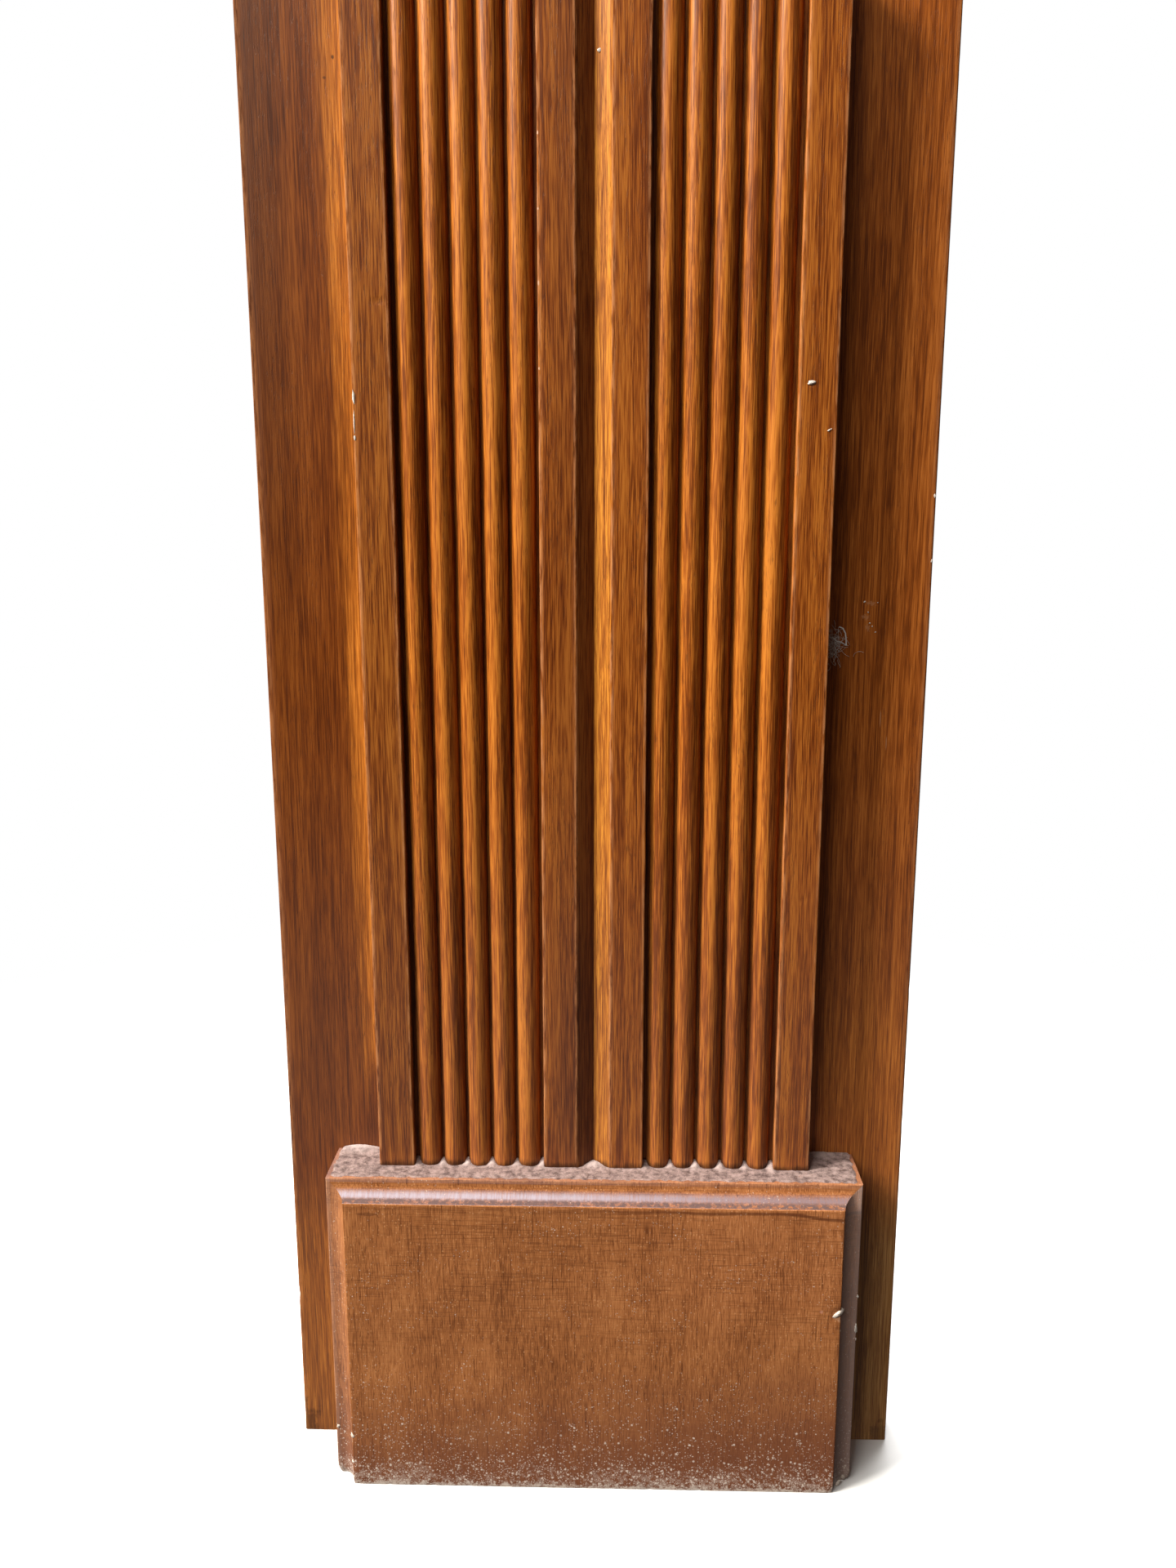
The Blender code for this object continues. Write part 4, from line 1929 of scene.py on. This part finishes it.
@dataclass
class Studio:
    """The pale floor, the soft lights and the camera."""

    camera_place: Point = (0.0105, -0.51435, 0.435)
    camera_yaw: float = -1.47
    camera_pitch: float = 10.89
    lens: float = 27.04
    sensor: float = 36.0
    floor_size: float = 8.0
    floor_level: float = -0.0002
    floor_fade: tuple[float, float] = (0.15, 0.90)
    aim: Point = (0.0, 0.0, 0.34)
    sky_stops: Sequence[tuple[float, Colour]] = (
        (0.0, (1.20, 1.10, 1.04)),
        (0.22, (1.10, 1.00, 0.95)),
        (0.36, (0.040, 0.030, 0.025)),
        (0.57, (0.030, 0.024, 0.022)),
        (0.70, (0.80, 0.70, 0.78)),
        (1.0, (1.80, 1.70, 1.85)),
    )
    ambient: Colour = (0.070, 0.056, 0.048)

    def lamps(self) -> tuple[Lamp, ...]:
        """List the lamps: a high one from the left, a broad weak one and one behind.

        Returns:
            The lamps.
        """
        return (
            Lamp("key", 66.0, 38.0, 4.0, (1.00, 1.40), 320.0, (1.0, 0.96, 0.88)),
            Lamp("fill", 33.0, 42.0, 4.0, (2.00, 0.80), 87.0, (1.0, 0.96, 0.90)),
            Lamp("rear", 180.0, 52.0, 3.2, (3.0, 2.0), 220.0, WHITE),
        )

    def build_camera(self) -> bpy.types.Object:
        """Stand the camera at the photograph's viewing angle.

        Returns:
            The camera.
        """
        yaw = math.radians(self.camera_yaw)
        pitch = math.radians(self.camera_pitch)
        forward = Vector((math.sin(yaw) * math.cos(pitch), math.cos(yaw) * math.cos(pitch),
                          -math.sin(pitch)))
        right = Vector((math.cos(yaw), -math.sin(yaw), 0.0))
        up = right.cross(forward)
        data = bpy.data.cameras.new("camera")
        data.lens = self.lens
        data.sensor_width = self.sensor
        data.clip_start = 0.01
        camera = bpy.data.objects.new("camera", data)
        turned = Matrix((right, up, -forward)).transposed().to_4x4()
        camera.matrix_world = Matrix.Translation(self.camera_place) @ turned
        bpy.context.scene.collection.objects.link(camera)
        bpy.context.scene.camera = camera
        return camera

    def build_floor(self) -> bpy.types.Object:
        """Lay the pale floor, which fades into the white surround.

        Returns:
            The floor, which is no part of the leg.
        """
        half = self.floor_size / 2
        turns = ((-1, -1), (1, -1), (1, 1), (-1, 1))
        corners = [(x * half, y * half, self.floor_level) for x, y in turns]
        mesh = bpy.data.meshes.new("floor")
        mesh.from_pydata(corners, [], [(0, 1, 2, 3)])
        material, graph = new_material("pale_floor")
        place = graph.place()
        cloud = graph.noise(place, (3.0, 3.0, 3.0), 2.0)
        colour = graph.ramp(cloud, ((0.3, (0.86, 0.86, 0.85)), (0.7, (0.90, 0.90, 0.90))))
        near = graph.node("ShaderNodeBsdfPrincipled", None,
                          {"Base Color": colour, "Roughness": 0.9})
        far = graph.node("ShaderNodeEmission", None, {"Color": WHITE})
        share = graph.length(place).rise(*self.floor_fade)
        mixed = graph.node("ShaderNodeMixShader", None, {0: share, 1: near.outputs[0],
                                                         2: far.outputs[0]})
        graph.end(mixed)
        mesh.materials.append(material)
        floor = bpy.data.objects.new("floor", mesh)
        floor.visible_glossy = False
        floor.visible_diffuse = False
        bpy.context.scene.collection.objects.link(floor)
        return floor

    def build_sky(self) -> None:
        """Light the scene softly from above and in front, in front of a white surround."""
        world = bpy.data.worlds.new("surround")
        bpy.context.scene.world = world
        world.use_nodes = True
        graph = Graph(world.node_tree)
        heading = graph.node("ShaderNodeTexCoord").outputs["Generated"]
        across, _, height = graph.axes(heading)
        sky = graph.ramp((height * 0.5 + 0.5).limited(), self.sky_stops)
        from_left = (0.45 - across * 0.9).limited()
        sky = graph.blend(sky, (0.0, 0.0, 0.0), (1 - from_left) * 0.8)
        path = graph.node("ShaderNodeLightPath")
        glossy = Value(graph, path.outputs["Is Glossy Ray"])
        light = graph.blend(self.ambient, sky, glossy)
        shown = graph.blend(light, WHITE, Value(graph, path.outputs["Is Camera Ray"]))
        surround = graph.node("ShaderNodeBackground", None, {0: shown})
        graph.end(surround, "ShaderNodeOutputWorld")

    def build(self) -> None:
        """Set up the whole studio."""
        bpy.context.scene.view_settings.view_transform = "Standard"
        self.build_camera()
        self.build_floor()
        self.build_sky()
        for lamp in self.lamps():
            lamp.build(Vector(self.aim))
        LOG.info("studio: camera, floor and lamps")


def main() -> None:
    """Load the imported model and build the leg's pieces in order."""
    logging.basicConfig(level=logging.INFO, format="%(name)s %(message)s")
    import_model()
    BackBoard().build()
    pilaster = ReededPilaster()
    pilaster.build()
    PlinthBlock().build()
    ShelfDust(valleys=tuple(pilaster.valleys())).build()
    Flecks().build()
    Lint().build()
    Studio().build()


if __name__ == "__main__":
    main()
